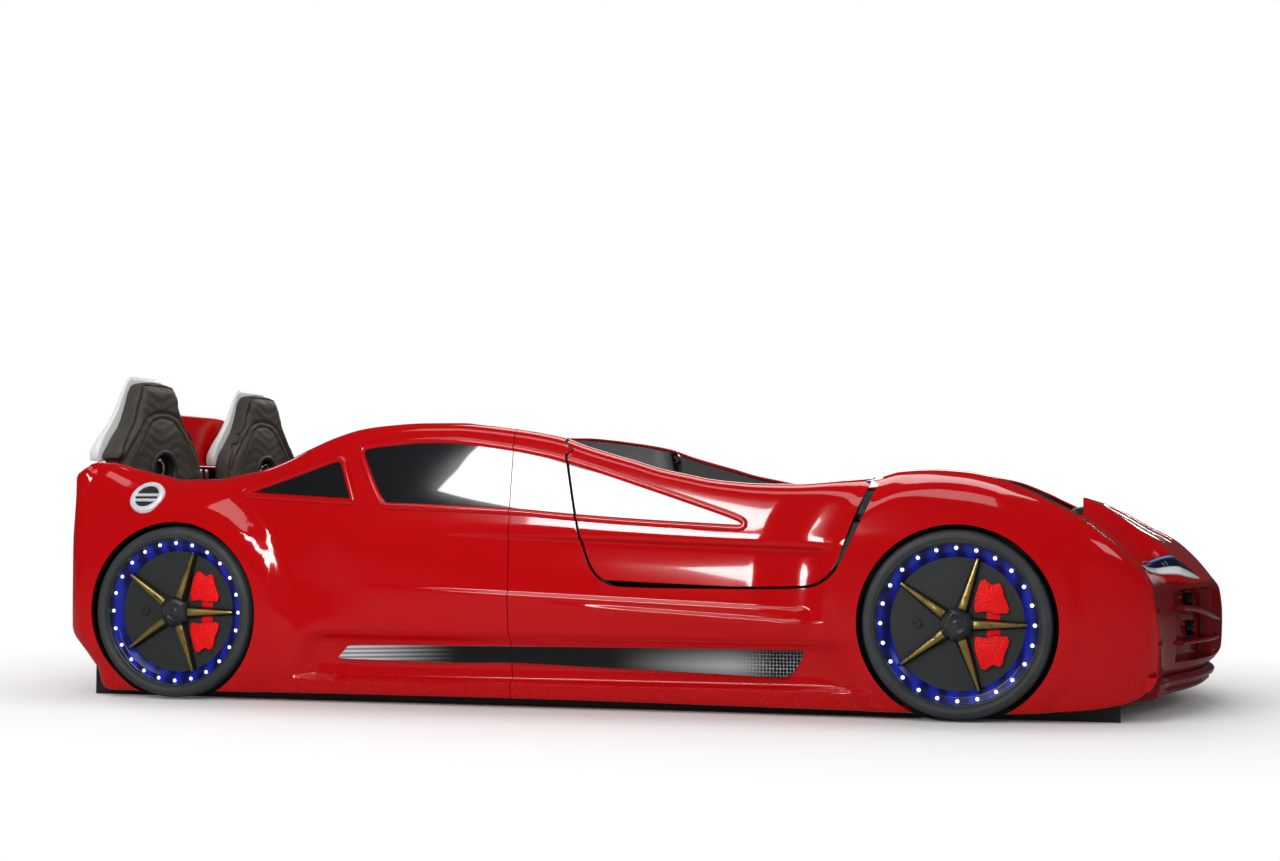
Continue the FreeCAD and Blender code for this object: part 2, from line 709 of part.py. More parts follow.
# ---- doors: inner board with a hinge arm, and a fixed hinge with its pin ----
hinge_x = door_front - size("hingeSetback")
hinge_y = -(face + size("hingeOut"))
knuckle = size("knuckleRadius")
low_z = size("hingeLow")
high_z = size("knuckleHeight")
arm_z0 = low_z + high_z + 0.5
arm_z1 = arm_z0 + high_z + 4
top_z0 = arm_z1 + 0.5
top_z1 = top_z0 + high_z
arm = size("armThick")
door_blank = prism("DoorBlank", "XZ_Plane", door_outline(-6), face, board)
rail_limit = prism("DoorRailLimit", "XZ_Plane", [(rear_x, 0)] + rail_line(drop) + [(corner, 0)], face - 10,
                   half_width - face + 20)
door_plate = common("DoorPlate", door_blank, rail_limit)
rib_zone = cut("RibZone", prism("RibOutside", "XZ_Plane", door_outline(-8), face + board - 1,
                                half_width - face - board),
               prism("RibInside", "XZ_Plane", door_outline(-8 - size("ribWidth")), face + board - 2,
                     half_width - face - board + 4))
rib_reach = prism("RibReach", "YZ_Plane", cross_section(skin + gap), rear_x, nose_x - rear_x)
glass_back = prism("GlassBack", "YZ_Plane", cross_section(skin + gap + size("glassThick") + gap), rear_x - 5,
                   nose_x - rear_x + 10)
pane_room = cut("PaneRoom", prism("PaneRoomOutline", "XZ_Plane", main_window(lap + 1), inner + 15,
                                  half_width - inner + 30), glass_back)
door_rib = cut("DoorRib", common("RibInSkin", common("RibInRail", rib_zone, rail_limit), rib_reach),
               pane_room)
arm_y0 = hinge_y + 2
arm_root = box("ArmRoot", hinge_x - 80, hinge_x - 42, arm_y0, -(face + board - 1), arm_z0, arm_z1)
arm_plate = box("ArmPlate", hinge_x - 80, hinge_x, arm_y0, arm_y0 + arm, arm_z0, arm_z1)
arm_eye = cylinder("ArmEye", knuckle, arm_z1 - arm_z0, hinge_x, hinge_y, arm_z0)
pin_bore = cylinder("PinBore", size("pinRadius") + size("pinFit"), arm_z1 - arm_z0 + 20, hinge_x,
                    hinge_y, arm_z0 - 10)
keep("door_frame_r", cut("door_frame_board", fuse("DoorFrameRaw", [door_plate, door_rib, arm_root,
                                                                 arm_plate, arm_eye]), pin_bore), both=True)


def bracket_leaf(label, z0, z1):
    return prism(label, "XY_Plane", [
        (hinge_x + 2, hinge_y - 6), (hinge_x + 34, -(face + 6)), (hinge_x + 50, -(face + 6)),
        (hinge_x + 50, -face), (hinge_x + 20, -face), (hinge_x - 4, hinge_y + 5)], z0, z1 - z0)


hinge_parts = [
    bracket_leaf("LeafLow", low_z, low_z + high_z),
    bracket_leaf("LeafHigh", top_z0, top_z1),
    box("LeafBase", hinge_x + 34, hinge_x + 60, -(face + 5), -face, low_z - 4, top_z1 + 4),
    cylinder("EyeLow", knuckle, high_z, hinge_x, hinge_y, low_z),
    cylinder("EyeHigh", knuckle, high_z, hinge_x, hinge_y, top_z0),
    cylinder("HingePin", size("pinRadius"), top_z1 - low_z, hinge_x, hinge_y, low_z),
]
keep("door_hinge_r", fuse("door_hinge_fixed", hinge_parts), both=True)

# ---- nose: hood and bumper shell, grille, lamps, lower lip ----
hood_rear = well_front + board + gap
hood = size("hoodHeight")
nose_half = inner - gap
nose_skin = size("noseSkin")


def hood_profile(lap):
    return [
        (hood_rear - lap * 4, size("lipHigh") + gap - lap * 4), (hood_rear - lap * 4, hood - lap),
        (hood_rear + 77 - lap, hood - 30 - lap), (hood_rear + 140 - lap, hood - 66 - lap),
        (hood_rear + 180 - lap, hood - 87 - lap), (nose_x - 57 - lap, hood - 120 - lap),
        (nose_x - 19 - lap, hood - 166 - lap), (nose_x - 4 - lap, hood - 193 - lap),
        (nose_x - lap, axle_z), (nose_x - 3 - lap, axle_z - 66),
        (nose_x - 14 - lap, size("lipHigh") + gap - lap * 4),
    ]


def nose_plan(lap):
    right = [(nose_x - lap, -20), (nose_x - 13 - lap, -110), (nose_x - 43 - lap, -230),
             (nose_x - 83 - lap, -330), (corner + 22 - lap, -(nose_half - 22)),
             (corner + 8 - lap, -nose_half), (hood_rear - 100, -nose_half)]
    return [(a, as_dim(b)) for a, b in right] + [(a, -as_dim(b)) for a, b in right[::-1]]


def nose_form(label, lap, half):
    side = prism(label + "Side", "XZ_Plane", hood_profile(lap), -half, half * 2)
    plan = prism(label + "Plan", "XY_Plane", nose_plan(lap), -20, hood + 60)
    return common(label, side, plan)


nose_outer = nose_form("NoseOuter", as_dim(0), nose_half)
nose_inner = nose_form("NoseInner", nose_skin, nose_half - nose_skin)
grille_hole = box("GrilleHole", corner + 18, nose_x + 40, -350, 350, size("grilleLow"),
                  size("grilleHigh"))


def lamp_plan(inset):
    return [
        (corner - 6 + inset, -(nose_half - 34 - inset)),
        (corner + 40 - inset, -(nose_half - 60 - inset)),
        (nose_x - 98 - inset, -(285 - inset)),
        (nose_x - 58 - inset * 2, -(175 + inset * 3)),
        (nose_x - 88 + inset, -(190 + inset * 2)),
        (nose_x - 122 + inset, -(275 - inset)),
    ]


lamp_low = hood - 171
lamp_hole = prism("LampHole", "XY_Plane", lamp_plan(as_dim(0)), lamp_low, 150)
lamp_hole_left = mirrored("LampHoleLeft", lamp_hole)
nose_shell = cut("NoseShell", nose_outer, nose_inner)
keep("bumper", cut("bumper_shell", nose_shell,
                   fuse("NoseCuts", [grille_hole, lamp_hole, lamp_hole_left])))
lens_form = prism("LensForm", "XY_Plane", lamp_plan(gap * 1.5), lamp_low, 150)
keep("headlamp_r", common("headlamp_lens", nose_shell, lens_form), both=True)

# grille: a back wall with bars, standing in the opening of the bumper
wall_front = prism("GrilleWallFront", "XY_Plane", nose_plan(as_dim(20)), size("grilleLow") + gap,
                   size("grilleHigh") - size("grilleLow") - gap * 2)
wall_back = prism("GrilleWallBack", "XY_Plane", nose_plan(as_dim(24)), 0, hood)
grille_span = box("GrilleSpan", corner + 2, nose_x, -350 + gap, 350 - gap, 0, hood)
bars = []
bar_pitch = (size("grilleHigh") - size("grilleLow")) * 0.25
for k in range(1, 4):
    z_mid = size("grilleLow") + bar_pitch * k
    bars.append(prism("GrilleBar%d" % k, "XY_Plane", nose_plan(as_dim(0)), z_mid - 6, 12))
grille_raw = fuse("GrilleRaw", [wall_front] + bars)
keep("grille", common("grille_bars", cut("GrilleCut", grille_raw, wall_back), grille_span))

lip_outer = common("LipOuter", prism("LipPlan", "XY_Plane", nose_plan(as_dim(14)), size("lipLow"),
                                     size("lipHigh") - size("lipLow")),
                   box("LipSpan", hood_rear + gap, nose_x + 10, -nose_half, nose_half, 0, hood))
lip_room = common("LipRoom", prism("LipRoomPlan", "XY_Plane", nose_plan(as_dim(24)), 0,
                                   size("lipHigh") - 5),
                  box("LipRoomSpan", hood_rear - 20, nose_x, -(nose_half - 8), nose_half - 8,
                      size("lipLow") + 5, size("lipHigh") - 5))
keep("lower_lip", cut("lower_lip_shell", lip_outer, lip_room))

# ---- seats that stand up at the head end ----
half_base = size("seatHalfBase")
seat_y = -(inner - size("seatSideGap") + size("seatFootIn") - half_base)
half_top = size("seatHalfTop")
seat_top = size("seatTop")
ledge_z = tail + gap
seat_back = rear_x + size("seatSetback")


def seat_points(inset, low):
    return [
        (seat_y - half_base + inset, low), (seat_y - half_base + inset, tail + 20),
        (seat_y - half_base + 14 + inset, tail + 50),
        (seat_y - half_top - 36 + inset, tail + 120),
        (seat_y - half_top + inset, seat_top - 18),
        (seat_y - half_top + 18 + inset, seat_top - inset),
        (seat_y + half_top - 18 - inset, seat_top - inset),
        (seat_y + half_top - inset, seat_top - 18),
        (seat_y + half_top + 36 - inset, tail + 120),
        (seat_y + half_base - 14 - inset, tail + 50),
        (seat_y + half_base - inset, tail + 20), (seat_y + half_base - inset, low),
    ]


shell_body = prism("seat_shell_body", "YZ_Plane", seat_points(as_dim(0), ledge_z), seat_back,
                   size("shellThick"))
keep("seat_shell_r", shell_body, both=True)

pad_low = size("rearBoardTop") + gap
pad_x = tail_board + gap


def pad_ring(body, name, inset, start, low):
    points = seat_points(as_dim(inset), low)
    narrow = half_base - size("seatFootIn") - inset
    foot = [(seat_y + narrow, low), (seat_y - narrow, low), (seat_y - narrow, tail + 4)]
    return outline(body, name, "YZ_Plane", foot + points[1:-1] + [(seat_y + narrow, tail + 4)], start)


seat_pad = new_body("seat_pad_body")
rings = [
    pad_ring(seat_pad, "PadBack", 9, pad_x, pad_low),
    pad_ring(seat_pad, "PadWide", 4, pad_x + size("padThick") * 0.35, pad_low),
    pad_ring(seat_pad, "PadEdge", 7, pad_x + size("padThick") * 0.75, pad_low),
    pad_ring(seat_pad, "PadFront", 20, pad_x + size("padThick"), pad_low + 6),
]
loft = seat_pad.newObject("PartDesign::AdditiveLoft", "PadForm")
loft.Profile = rings[0]
loft.Sections = rings[1:]
loft.Ruled = True
seat_pad.Tip = loft


def seam_band(label, sign):
    """A stitched channel between the side bolster and the centre of the pad."""
    width = 5
    return prism(label, "YZ_Plane", [
        (seat_y + sign * (half_base - 52), pad_low - 5), (seat_y + sign * (half_base - 58), tail + 30),
        (seat_y + sign * (half_top + 4), tail + 105), (seat_y + sign * (half_top - 26), seat_top - 34),
        (seat_y + sign * (half_top - 26 - width), seat_top - 34),
        (seat_y + sign * (half_top + 4 - width), tail + 105),
        (seat_y + sign * (half_base - 58 - width), tail + 30),
        (seat_y + sign * (half_base - 52 - width), pad_low - 5)],
        pad_x + size("padThick") - 4, 10)


harness_hole = prism("HarnessHole", "YZ_Plane", [
    (seat_y - 24, tail + 64), (seat_y + 24, tail + 64), (seat_y + 20, tail + 88), (seat_y - 20, tail + 88)],
    pad_x + size("padThick") - 14, 30)
keep("seat_pad_r", cut("seat_pad_cushion", seat_pad, fuse("PadCuts", [
    seam_band("SeamNear", -1), seam_band("SeamFar", 1), harness_hole])), both=True)

panel_half = size("panelHalf")
keep("headboard_panel", prism("headboard_panel_body", "YZ_Plane", [
    (-panel_half, ledge_z), (-panel_half, size("panelTop") - 30), (-(panel_half - 30), size("panelTop")),
    (panel_half - 30, size("panelTop")), (panel_half, size("panelTop") - 30), (panel_half, ledge_z)],
    seat_back - gap - size("panelThick"), size("panelThick")))

# ---- lighting control in the tail: box, rocker switch, power inlet ----
rocker_w = size("rockerWidth")
rocker_l = size("rockerLength")
rocker_fit = size("rockerFit")
rocker_x = rear_x + 9
rocker_y = box_y - 20
inlet_y = box_y + 22
box_end = tail_board - gap
control_solid = box("ControlSolid", box_x0, box_end, box_y - box_w, box_y + box_w, box_z - box_h, box_z + box_h)
rocker_room = box("RockerRoom", box_x0 - 5, rear_x + 22, rocker_y - rocker_w * 0.5 - rocker_fit,
                  rocker_y + rocker_w * 0.5 + rocker_fit, box_z - rocker_l * 0.5 - rocker_fit,
                  box_z + rocker_l * 0.5 + rocker_fit)
along_y = Rotation(Vector(1, 0, 0), -90)
along_x = Rotation(Vector(0, 1, 0), 90)
trunnion_hole = cylinder("TrunnionHole", 2.05, rocker_w + 8, rocker_x, rocker_y - rocker_w * 0.5 - 4, box_z,
                         along_y)
inlet_hole = cylinder("InletHole", size("inletRadius") + gap, 20, rear_x - 2, inlet_y, box_z, along_x)
keep("control_box", cut("control_box_body", control_solid,
                        fuse("ControlCuts", [rocker_room, trunnion_hole, inlet_hole])))
rocker_body = prism("RockerBody", "XZ_Plane", [
    (rocker_x - 7, box_z - rocker_l * 0.5 + 1.5), (rocker_x - 5.5, box_z),
    (rocker_x - 7, box_z + rocker_l * 0.5 - 1.5), (rocker_x + 3, box_z + rocker_l * 0.5 - 1.5),
    (rocker_x + 6, box_z), (rocker_x + 3, box_z - rocker_l * 0.5 + 1.5)],
    -(rocker_y + rocker_w * 0.5), rocker_w)
trunnion = cylinder("Trunnion", 2.0, rocker_w + 7, rocker_x, rocker_y - rocker_w * 0.5 - 3.5, box_z, along_y)
keep("rocker", fuse("rocker_switch", [rocker_body, trunnion]))
inlet_solid = cylinder("InletSolid", size("inletRadius"), 17, rear_x + 0.5, inlet_y, box_z, along_x)
inlet_bore = cylinder("InletBore", size("inletRadius") - 2.5, 10, rear_x - 1, inlet_y, box_z, along_x)
keep("power_inlet", cut("power_inlet_jack", inlet_solid, inlet_bore))

# ---- trims: sill strip and round cap ----
plate_face = half_width - 26 + gap
strip_rear = rear_axle + 361.5
strip_front = front_axle - 291.5
sill_plate = prism("sill_strip_body", "XZ_Plane", [
    (strip_rear, axle_z - 91), (strip_rear + 25, axle_z - 63), (seam, axle_z - 59),
    (seam + (strip_front - seam) * 0.647, axle_z - 56), (strip_front, axle_z - 54),
    (strip_front - 6, axle_z - 76), (strip_front - 21, axle_z - 99), (strip_front - 41, axle_z - 109),
    (seam + (strip_front - seam) * 0.647, axle_z - 103), (seam, axle_z - 91),
    (strip_rear + (seam - strip_rear) * 0.653, axle_z - 94)], plate_face, size("plateThick"))
keep("sill_strip_r", sill_plate, both=True)

lean = math.degrees(math.atan2(15, 60))
cap_z = roof - 152
cap_y = -(half_width - 18.5)
cap_turn = Rotation(Vector(1, 0, 0), 90 - lean)
cap_disc = cylinder("round_cap_disc", size("capRadius"), size("capThick"), rear_axle - 85, cap_y - gap,
                    cap_z, cap_turn)
keep("round_cap_r", cap_disc, both=True)

# ---- checks and export ----
doc.recompute()
faults = []
for thing in doc.Objects:
    if any(word in thing.State for word in ("Invalid", "Error")):
        faults.append("%s: %s" % (thing.Label, thing.State))
for node, thing in parts.items():
    shape = thing.Shape
    if shape.isNull() or not shape.isValid() or not shape.Solids:
        faults.append("%s: no valid solid" % node)
if faults:
    raise RuntimeError("; ".join(faults))

os.makedirs("parts", exist_ok=True)
total = FreeCAD.BoundBox()
for node, thing in parts.items():
    shape = thing.Shape
    shape.exportStep(os.path.join("parts", node + ".step"))
    total.add(shape.BoundBox)
    print("%-20s solids %d  volume %.0f" % (node, len(shape.Solids), shape.Volume))
print("nodes", len(parts))
print("box", [round(v, 1) for v in (total.XMin, total.XMax, total.YMin, total.YMax, total.ZMin, total.ZMax)])
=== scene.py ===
import math

import bmesh
import bpy
import numpy as np
from mathutils import Matrix, Vector


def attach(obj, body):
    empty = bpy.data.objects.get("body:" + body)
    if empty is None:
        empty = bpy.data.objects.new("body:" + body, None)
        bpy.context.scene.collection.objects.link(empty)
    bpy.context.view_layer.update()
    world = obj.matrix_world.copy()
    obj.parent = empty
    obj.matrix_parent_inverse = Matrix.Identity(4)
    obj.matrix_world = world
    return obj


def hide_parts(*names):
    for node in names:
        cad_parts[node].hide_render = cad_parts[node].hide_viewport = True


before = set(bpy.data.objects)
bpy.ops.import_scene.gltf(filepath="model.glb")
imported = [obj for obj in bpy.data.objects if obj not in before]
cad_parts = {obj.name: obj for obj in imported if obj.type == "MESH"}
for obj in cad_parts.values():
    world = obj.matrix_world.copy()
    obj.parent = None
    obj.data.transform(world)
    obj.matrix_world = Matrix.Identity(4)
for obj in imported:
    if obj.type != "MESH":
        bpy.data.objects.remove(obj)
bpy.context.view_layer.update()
scene = bpy.context.scene
print("frame loaded:", len(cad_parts), "nodes")

# ---------------------------------------------------------------- camera
cameraSetup = {
    "place": (0.97524, -4.03961, 0.41283),
    "turnLeft": 14.389,    # degrees from straight along +Y
    "tiltUp": 2.205,
    "lens": 51.829,
    "sensor": 36.0,
}


def addCamera():
    data = bpy.data.cameras.new("viewCamera")
    data.lens = cameraSetup["lens"]
    data.sensor_width = cameraSetup["sensor"]
    data.sensor_fit = "HORIZONTAL"
    data.clip_end = 60
    cam = bpy.data.objects.new("viewCamera", data)
    scene.collection.objects.link(cam)
    cam.location = cameraSetup["place"]
    cam.rotation_euler = (math.radians(90 + cameraSetup["tiltUp"]), 0.0,
                          math.radians(cameraSetup["turnLeft"]))
    scene.camera = cam


addCamera()

# ---------------------------------------------------------------- tools


def clearSelection():
    if bpy.context.mode != "OBJECT":
        bpy.ops.object.mode_set(mode="OBJECT")
    bpy.ops.object.select_all(action="DESELECT")


def choose(piece):
    clearSelection()
    piece.select_set(True)
    bpy.context.view_layer.objects.active = piece


def smoothStep(a, b, x):
    t = np.clip((np.asarray(x, dtype=float) - a) / (b - a), 0.0, 1.0)
    return t * t * (3 - 2 * t)


def curveAt(points, x):
    # smooth curve through the points, without overshoot between them
    px = np.array([p[0] for p in points], dtype=float)
    py = np.array([p[1] for p in points], dtype=float)
    h = np.diff(px)
    d = np.diff(py) / h
    m = np.zeros_like(px)
    for i in range(1, len(px) - 1):
        if d[i - 1] * d[i] > 0:
            w1 = 2 * h[i] + h[i - 1]
            w2 = h[i] + 2 * h[i - 1]
            m[i] = (w1 + w2) / (w1 / d[i - 1] + w2 / d[i])
    m[0], m[-1] = d[0], d[-1]
    x = np.asarray(x, dtype=float)
    k = np.clip(np.searchsorted(px, x) - 1, 0, len(h) - 1)
    t = np.clip((x - px[k]) / h[k], 0.0, 1.0)
    return (py[k] * (1 + 2 * t) * (1 - t) ** 2 + m[k] * h[k] * t * (1 - t) ** 2
            + py[k + 1] * t * t * (3 - 2 * t) + m[k + 1] * h[k] * t * t * (t - 1))


def roundedOutline(points, reach=0.35, steps=5):
    # closed outline with each corner turned into a short curve
    result = []
    count = len(points)
    for i in range(count):
        before = Vector(points[i - 1])
        here = Vector(points[i])
        after = Vector(points[(i + 1) % count])
        a = here.lerp(before, reach)
        b = here.lerp(after, reach)
        for k in range(steps + 1):
            t = k / steps
            result.append((a * (1 - t) ** 2 + here * 2 * t * (1 - t) + b * t * t)[:])
    return result


def gridPiece(name, points, closeU=False):
    # a grid primitive whose points are then moved to points[row][column]
    rows, columns = points.shape[:2]
    clearSelection()
    bpy.ops.mesh.primitive_grid_add(x_subdivisions=columns - 1, y_subdivisions=rows - 1, size=2)
    piece = bpy.context.active_object
    piece.name = name
    piece.data.name = name
    mesh = piece.data
    flat = np.empty(len(mesh.vertices) * 3)
    mesh.vertices.foreach_get("co", flat)
    flat = flat.reshape(-1, 3)
    column = np.rint((flat[:, 0] + 1) / 2 * (columns - 1)).astype(int)
    row = np.rint((flat[:, 1] + 1) / 2 * (rows - 1)).astype(int)
    mesh.vertices.foreach_set("co", points[row, column].reshape(-1))
    mesh.update()
    return piece


def tidyMesh(piece, distance=0.00005, outward=True):
    choose(piece)
    bpy.ops.object.mode_set(mode="EDIT")
    bpy.ops.mesh.select_all(action="SELECT")
    bpy.ops.mesh.remove_doubles(threshold=distance)
    if outward:
        bpy.ops.mesh.normals_make_consistent(inside=False)
    bpy.ops.object.mode_set(mode="OBJECT")
    return piece


def applyModifier(piece, kind, **values):
    choose(piece)
    modifier = piece.modifiers.new(kind.lower(), kind)
    for key, value in values.items():
        setattr(modifier, key, value)
    bpy.ops.object.modifier_apply(modifier=modifier.name)
    return piece


def bevelEdges(piece, width, segments=2, angle=40):
    return applyModifier(piece, "BEVEL", width=width, segments=segments, limit_method="ANGLE",
                         angle_limit=math.radians(angle), harden_normals=False)


def smoothShade(piece, angle=35):
    choose(piece)
    bpy.ops.object.shade_smooth_by_angle(angle=math.radians(angle))
    return piece


def prismPiece(name, outline, low, high, plane="XZ"):
    # outline extruded along the axis that its plane leaves out
    clearSelection()
    bpy.ops.mesh.primitive_circle_add(vertices=len(outline), radius=1, fill_type="NGON")
    piece = bpy.context.active_object
    piece.name = name
    piece.data.name = name
    spots = {"XZ": lambda a, b: (a, low, b), "YZ": lambda a, b: (low, a, b), "XY": lambda a, b: (a, b, low)}
    for vertex, (a, b) in zip(piece.data.vertices, outline):
        vertex.co = spots[plane](a, b)
    step = {"XZ": (0, high - low, 0), "YZ": (high - low, 0, 0), "XY": (0, 0, high - low)}[plane]
    bpy.ops.object.mode_set(mode="EDIT")
    bpy.ops.mesh.select_all(action="SELECT")
    bpy.ops.mesh.extrude_region_move(TRANSFORM_OT_translate={"value": step})
    bpy.ops.mesh.select_all(action="SELECT")
    bpy.ops.mesh.normals_make_consistent(inside=False)
    bpy.ops.object.mode_set(mode="OBJECT")
    return piece


def spunPiece(name, profile, center, steps=96, axis=(0, 1, 0), turn=360):
    # closed profile of (radius, place along the axis) spun about a line along Y
    clearSelection()
    bpy.ops.mesh.primitive_circle_add(vertices=len(profile), radius=1, fill_type="NOTHING")
    piece = bpy.context.active_object
    piece.name = name
    piece.data.name = name
    for vertex, (radius, along) in zip(piece.data.vertices, profile):
        vertex.co = (center[0] + radius, center[1] + along, center[2])
    bpy.ops.object.mode_set(mode="EDIT")
    bpy.ops.mesh.select_all(action="SELECT")
    bpy.ops.mesh.spin(steps=steps, angle=math.radians(turn), center=center, axis=axis)
    bpy.ops.mesh.select_all(action="SELECT")
    bpy.ops.mesh.remove_doubles(threshold=0.00002)
    bpy.ops.mesh.normals_make_consistent(inside=False)
    bpy.ops.object.mode_set(mode="OBJECT")
    return piece


def cutWith(piece, cutter, operation="DIFFERENCE", keepCutter=False):
    choose(piece)
    modifier = piece.modifiers.new("cut", "BOOLEAN")
    modifier.object = cutter
    modifier.operation = operation
    modifier.solver = "EXACT"
    bpy.ops.object.modifier_apply(modifier=modifier.name)
    if not keepCutter:
        bpy.data.objects.remove(cutter, do_unlink=True)
    return piece


def copyPiece(piece, name, move=(0, 0, 0), mirror=False):
    copy = piece.copy()
    copy.data = piece.data.copy()
    copy.name = name
    copy.data.name = name
    scene.collection.objects.link(copy)
    if mirror:
        copy.data.transform(Matrix.Diagonal((1, -1, 1, 1)))
        copy.data.flip_normals()
    copy.data.transform(Matrix.Translation(move))
    copy.data.update()
    return copy


def joinPieces(main, others):
    choose(main)
    for other in others:
        other.select_set(True)
    bpy.context.view_layer.objects.active = main
    bpy.ops.object.join()
    return main


def dress(piece, material, body, replaced=(), angle=35):
    if angle:
        smoothShade(piece, angle)
    if material is not None:
        piece.data.materials.clear()
        piece.data.materials.append(material)
    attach(piece, body)
    if replaced:
        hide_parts(*replaced)
    return piece


sides = {"r": ("door_right", False), "l": ("door_left", True)}

# ---------------------------------------------------------------- finishes
# shared effects: each is one node group with named inputs and outputs


def newGroup(name, inputs, outputs):
    group = bpy.data.node_groups.new(name, "ShaderNodeTree")
    for label, kind, value in inputs:
        socket = group.interface.new_socket(name=label, in_out="INPUT", socket_type=kind)
        if value is not None:
            socket.default_value = value
    for label, kind in outputs:
        group.interface.new_socket(name=label, in_out="OUTPUT", socket_type=kind)
    start = group.nodes.new("NodeGroupInput")
    end = group.nodes.new("NodeGroupOutput")
    return group, start, end


def addNode(tree, kind, **values):
    node = tree.nodes.new(kind)
    for key, value in values.items():
        if key.startswith("in_"):
            node.inputs[key[3:].replace("_", " ")].default_value = value
        else:
            setattr(node, key, value)
    return node


def mathNode(tree, operation, first, second=None, clamp=False):
    node = tree.nodes.new("ShaderNodeMath")
    node.operation = operation
    node.use_clamp = clamp
    for index, value in enumerate((first, second)):
        if value is None:
            continue
        if isinstance(value, (int, float)):
            node.inputs[index].default_value = value
        else:
            tree.links.new(value, node.inputs[index])
    return node.outputs[0]


def mixColour(tree, factor, first, second, blend="MIX"):
    node = tree.nodes.new("ShaderNodeMix")
    node.data_type = "RGBA"
    node.blend_type = blend
    for socket, value in ((node.inputs[0], factor), (node.inputs[6], first), (node.inputs[7], second)):
        if hasattr(value, "links"):
            tree.links.new(value, socket)
        else:
            socket.default_value = value
    return node.outputs[2]


def noiseOut(tree, place, scale, detail=3.0, rough=0.55, output="Fac"):
    node = addNode(tree, "ShaderNodeTexNoise", in_Scale=scale, in_Detail=detail, in_Roughness=rough)
    tree.links.new(place, node.inputs["Vector"])
    return node.outputs[output]


def rampOut(tree, value, low, high):
    node = tree.nodes.new("ShaderNodeMapRange")
    node.interpolation_type = "SMOOTHSTEP"
    node.inputs["From Min"].default_value = low
    node.inputs["From Max"].default_value = high
    tree.links.new(value, node.inputs["Value"])
    return node.outputs["Result"]


def buildPaintGroup():
    # moulded glossy plastic: slow colour drift, fine ripple, handling marks, dust low down
    group, start, end = newGroup("mouldedGloss", [
        ("Colour", "NodeSocketColor", (0.5, 0.01, 0.01, 1)), ("Drift", "NodeSocketFloat", 0.12),
        ("Roughness", "NodeSocketFloat", 0.12), ("Marks", "NodeSocketFloat", 0.10),
        ("Ripple", "NodeSocketFloat", 0.3), ("Dust", "NodeSocketFloat", 0.2)], [
        ("Colour", "NodeSocketColor"), ("Roughness", "NodeSocketFloat"), ("Height", "NodeSocketFloat")])
    place = addNode(group, "ShaderNodeTexCoord").outputs["Object"]
    drift = noiseOut(group, place, 2.3, 2.0)
    darker = mixColour(group, mathNode(group, "MULTIPLY", drift, start.outputs["Drift"]),
                       start.outputs["Colour"], (0.0, 0.0, 0.0, 1))
    split = addNode(group, "ShaderNodeSeparateXYZ")
    group.links.new(place, split.inputs[0])
    low = rampOut(group, split.outputs["Z"], 0.16, 0.0)
    speck = rampOut(group, noiseOut(group, place, 210.0, 4.0, 0.7), 0.52, 0.72)
    dust = mathNode(group, "MULTIPLY", mathNode(group, "MULTIPLY", low, speck), start.outputs["Dust"])
    colour = mixColour(group, dust, darker, (0.55, 0.50, 0.45, 1))
    group.links.new(colour, end.inputs["Colour"])
    smear = rampOut(group, noiseOut(group, place, 7.0, 5.0, 0.65), 0.45, 0.8)
    scratchMap = addNode(group, "ShaderNodeMapping")
    scratchMap.inputs["Scale"].default_value = (4.0, 60.0, 160.0)
    group.links.new(place, scratchMap.inputs["Vector"])
    scratch = rampOut(group, noiseOut(group, scratchMap.outputs[0], 3.0, 6.0, 0.7), 0.66, 0.74)
    marks = mathNode(group, "MULTIPLY", mathNode(group, "ADD", smear, scratch), start.outputs["Marks"])
    rough = mathNode(group, "ADD", mathNode(group, "ADD", start.outputs["Roughness"], marks),
                     mathNode(group, "MULTIPLY", dust, 0.6), clamp=True)
    group.links.new(rough, end.inputs["Roughness"])
    wave = mathNode(group, "MULTIPLY", noiseOut(group, place, 16.0, 1.0), start.outputs["Ripple"])
    fine = mathNode(group, "MULTIPLY", noiseOut(group, place, 900.0, 1.0), 0.03)
    group.links.new(mathNode(group, "ADD", wave, fine), end.inputs["Height"])
    return group


def buildGrainGroup():
    # fine moulded grain of matt plastic and rubber with rubbed, lighter spots
    group, start, end = newGroup("mouldedGrain", [
        ("Colour", "NodeSocketColor", (0.03, 0.03, 0.03, 1)), ("Worn Colour", "NodeSocketColor", (0.1, 0.1, 0.1, 1)),
        ("Roughness", "NodeSocketFloat", 0.5), ("Grain Scale", "NodeSocketFloat", 900.0),
        ("Wear", "NodeSocketFloat", 0.25)], [
        ("Colour", "NodeSocketColor"), ("Roughness", "NodeSocketFloat"), ("Height", "NodeSocketFloat")])
    place = addNode(group, "ShaderNodeTexCoord").outputs["Object"]
    patch = rampOut(group, noiseOut(group, place, 9.0, 5.0, 0.7), 0.42, 0.75)
    amount = mathNode(group, "MULTIPLY", patch, start.outputs["Wear"])
    group.links.new(mixColour(group, amount, start.outputs["Colour"], start.outputs["Worn Colour"]),
                    end.inputs["Colour"])
    group.links.new(mathNode(group, "SUBTRACT", start.outputs["Roughness"],
                             mathNode(group, "MULTIPLY", amount, 0.4), clamp=True), end.inputs["Roughness"])
    cell = addNode(group, "ShaderNodeTexVoronoi", feature="F1")
    group.links.new(place, cell.inputs["Vector"])
    group.links.new(start.outputs["Grain Scale"], cell.inputs["Scale"])
    group.links.new(cell.outputs["Distance"], end.inputs["Height"])
    return group


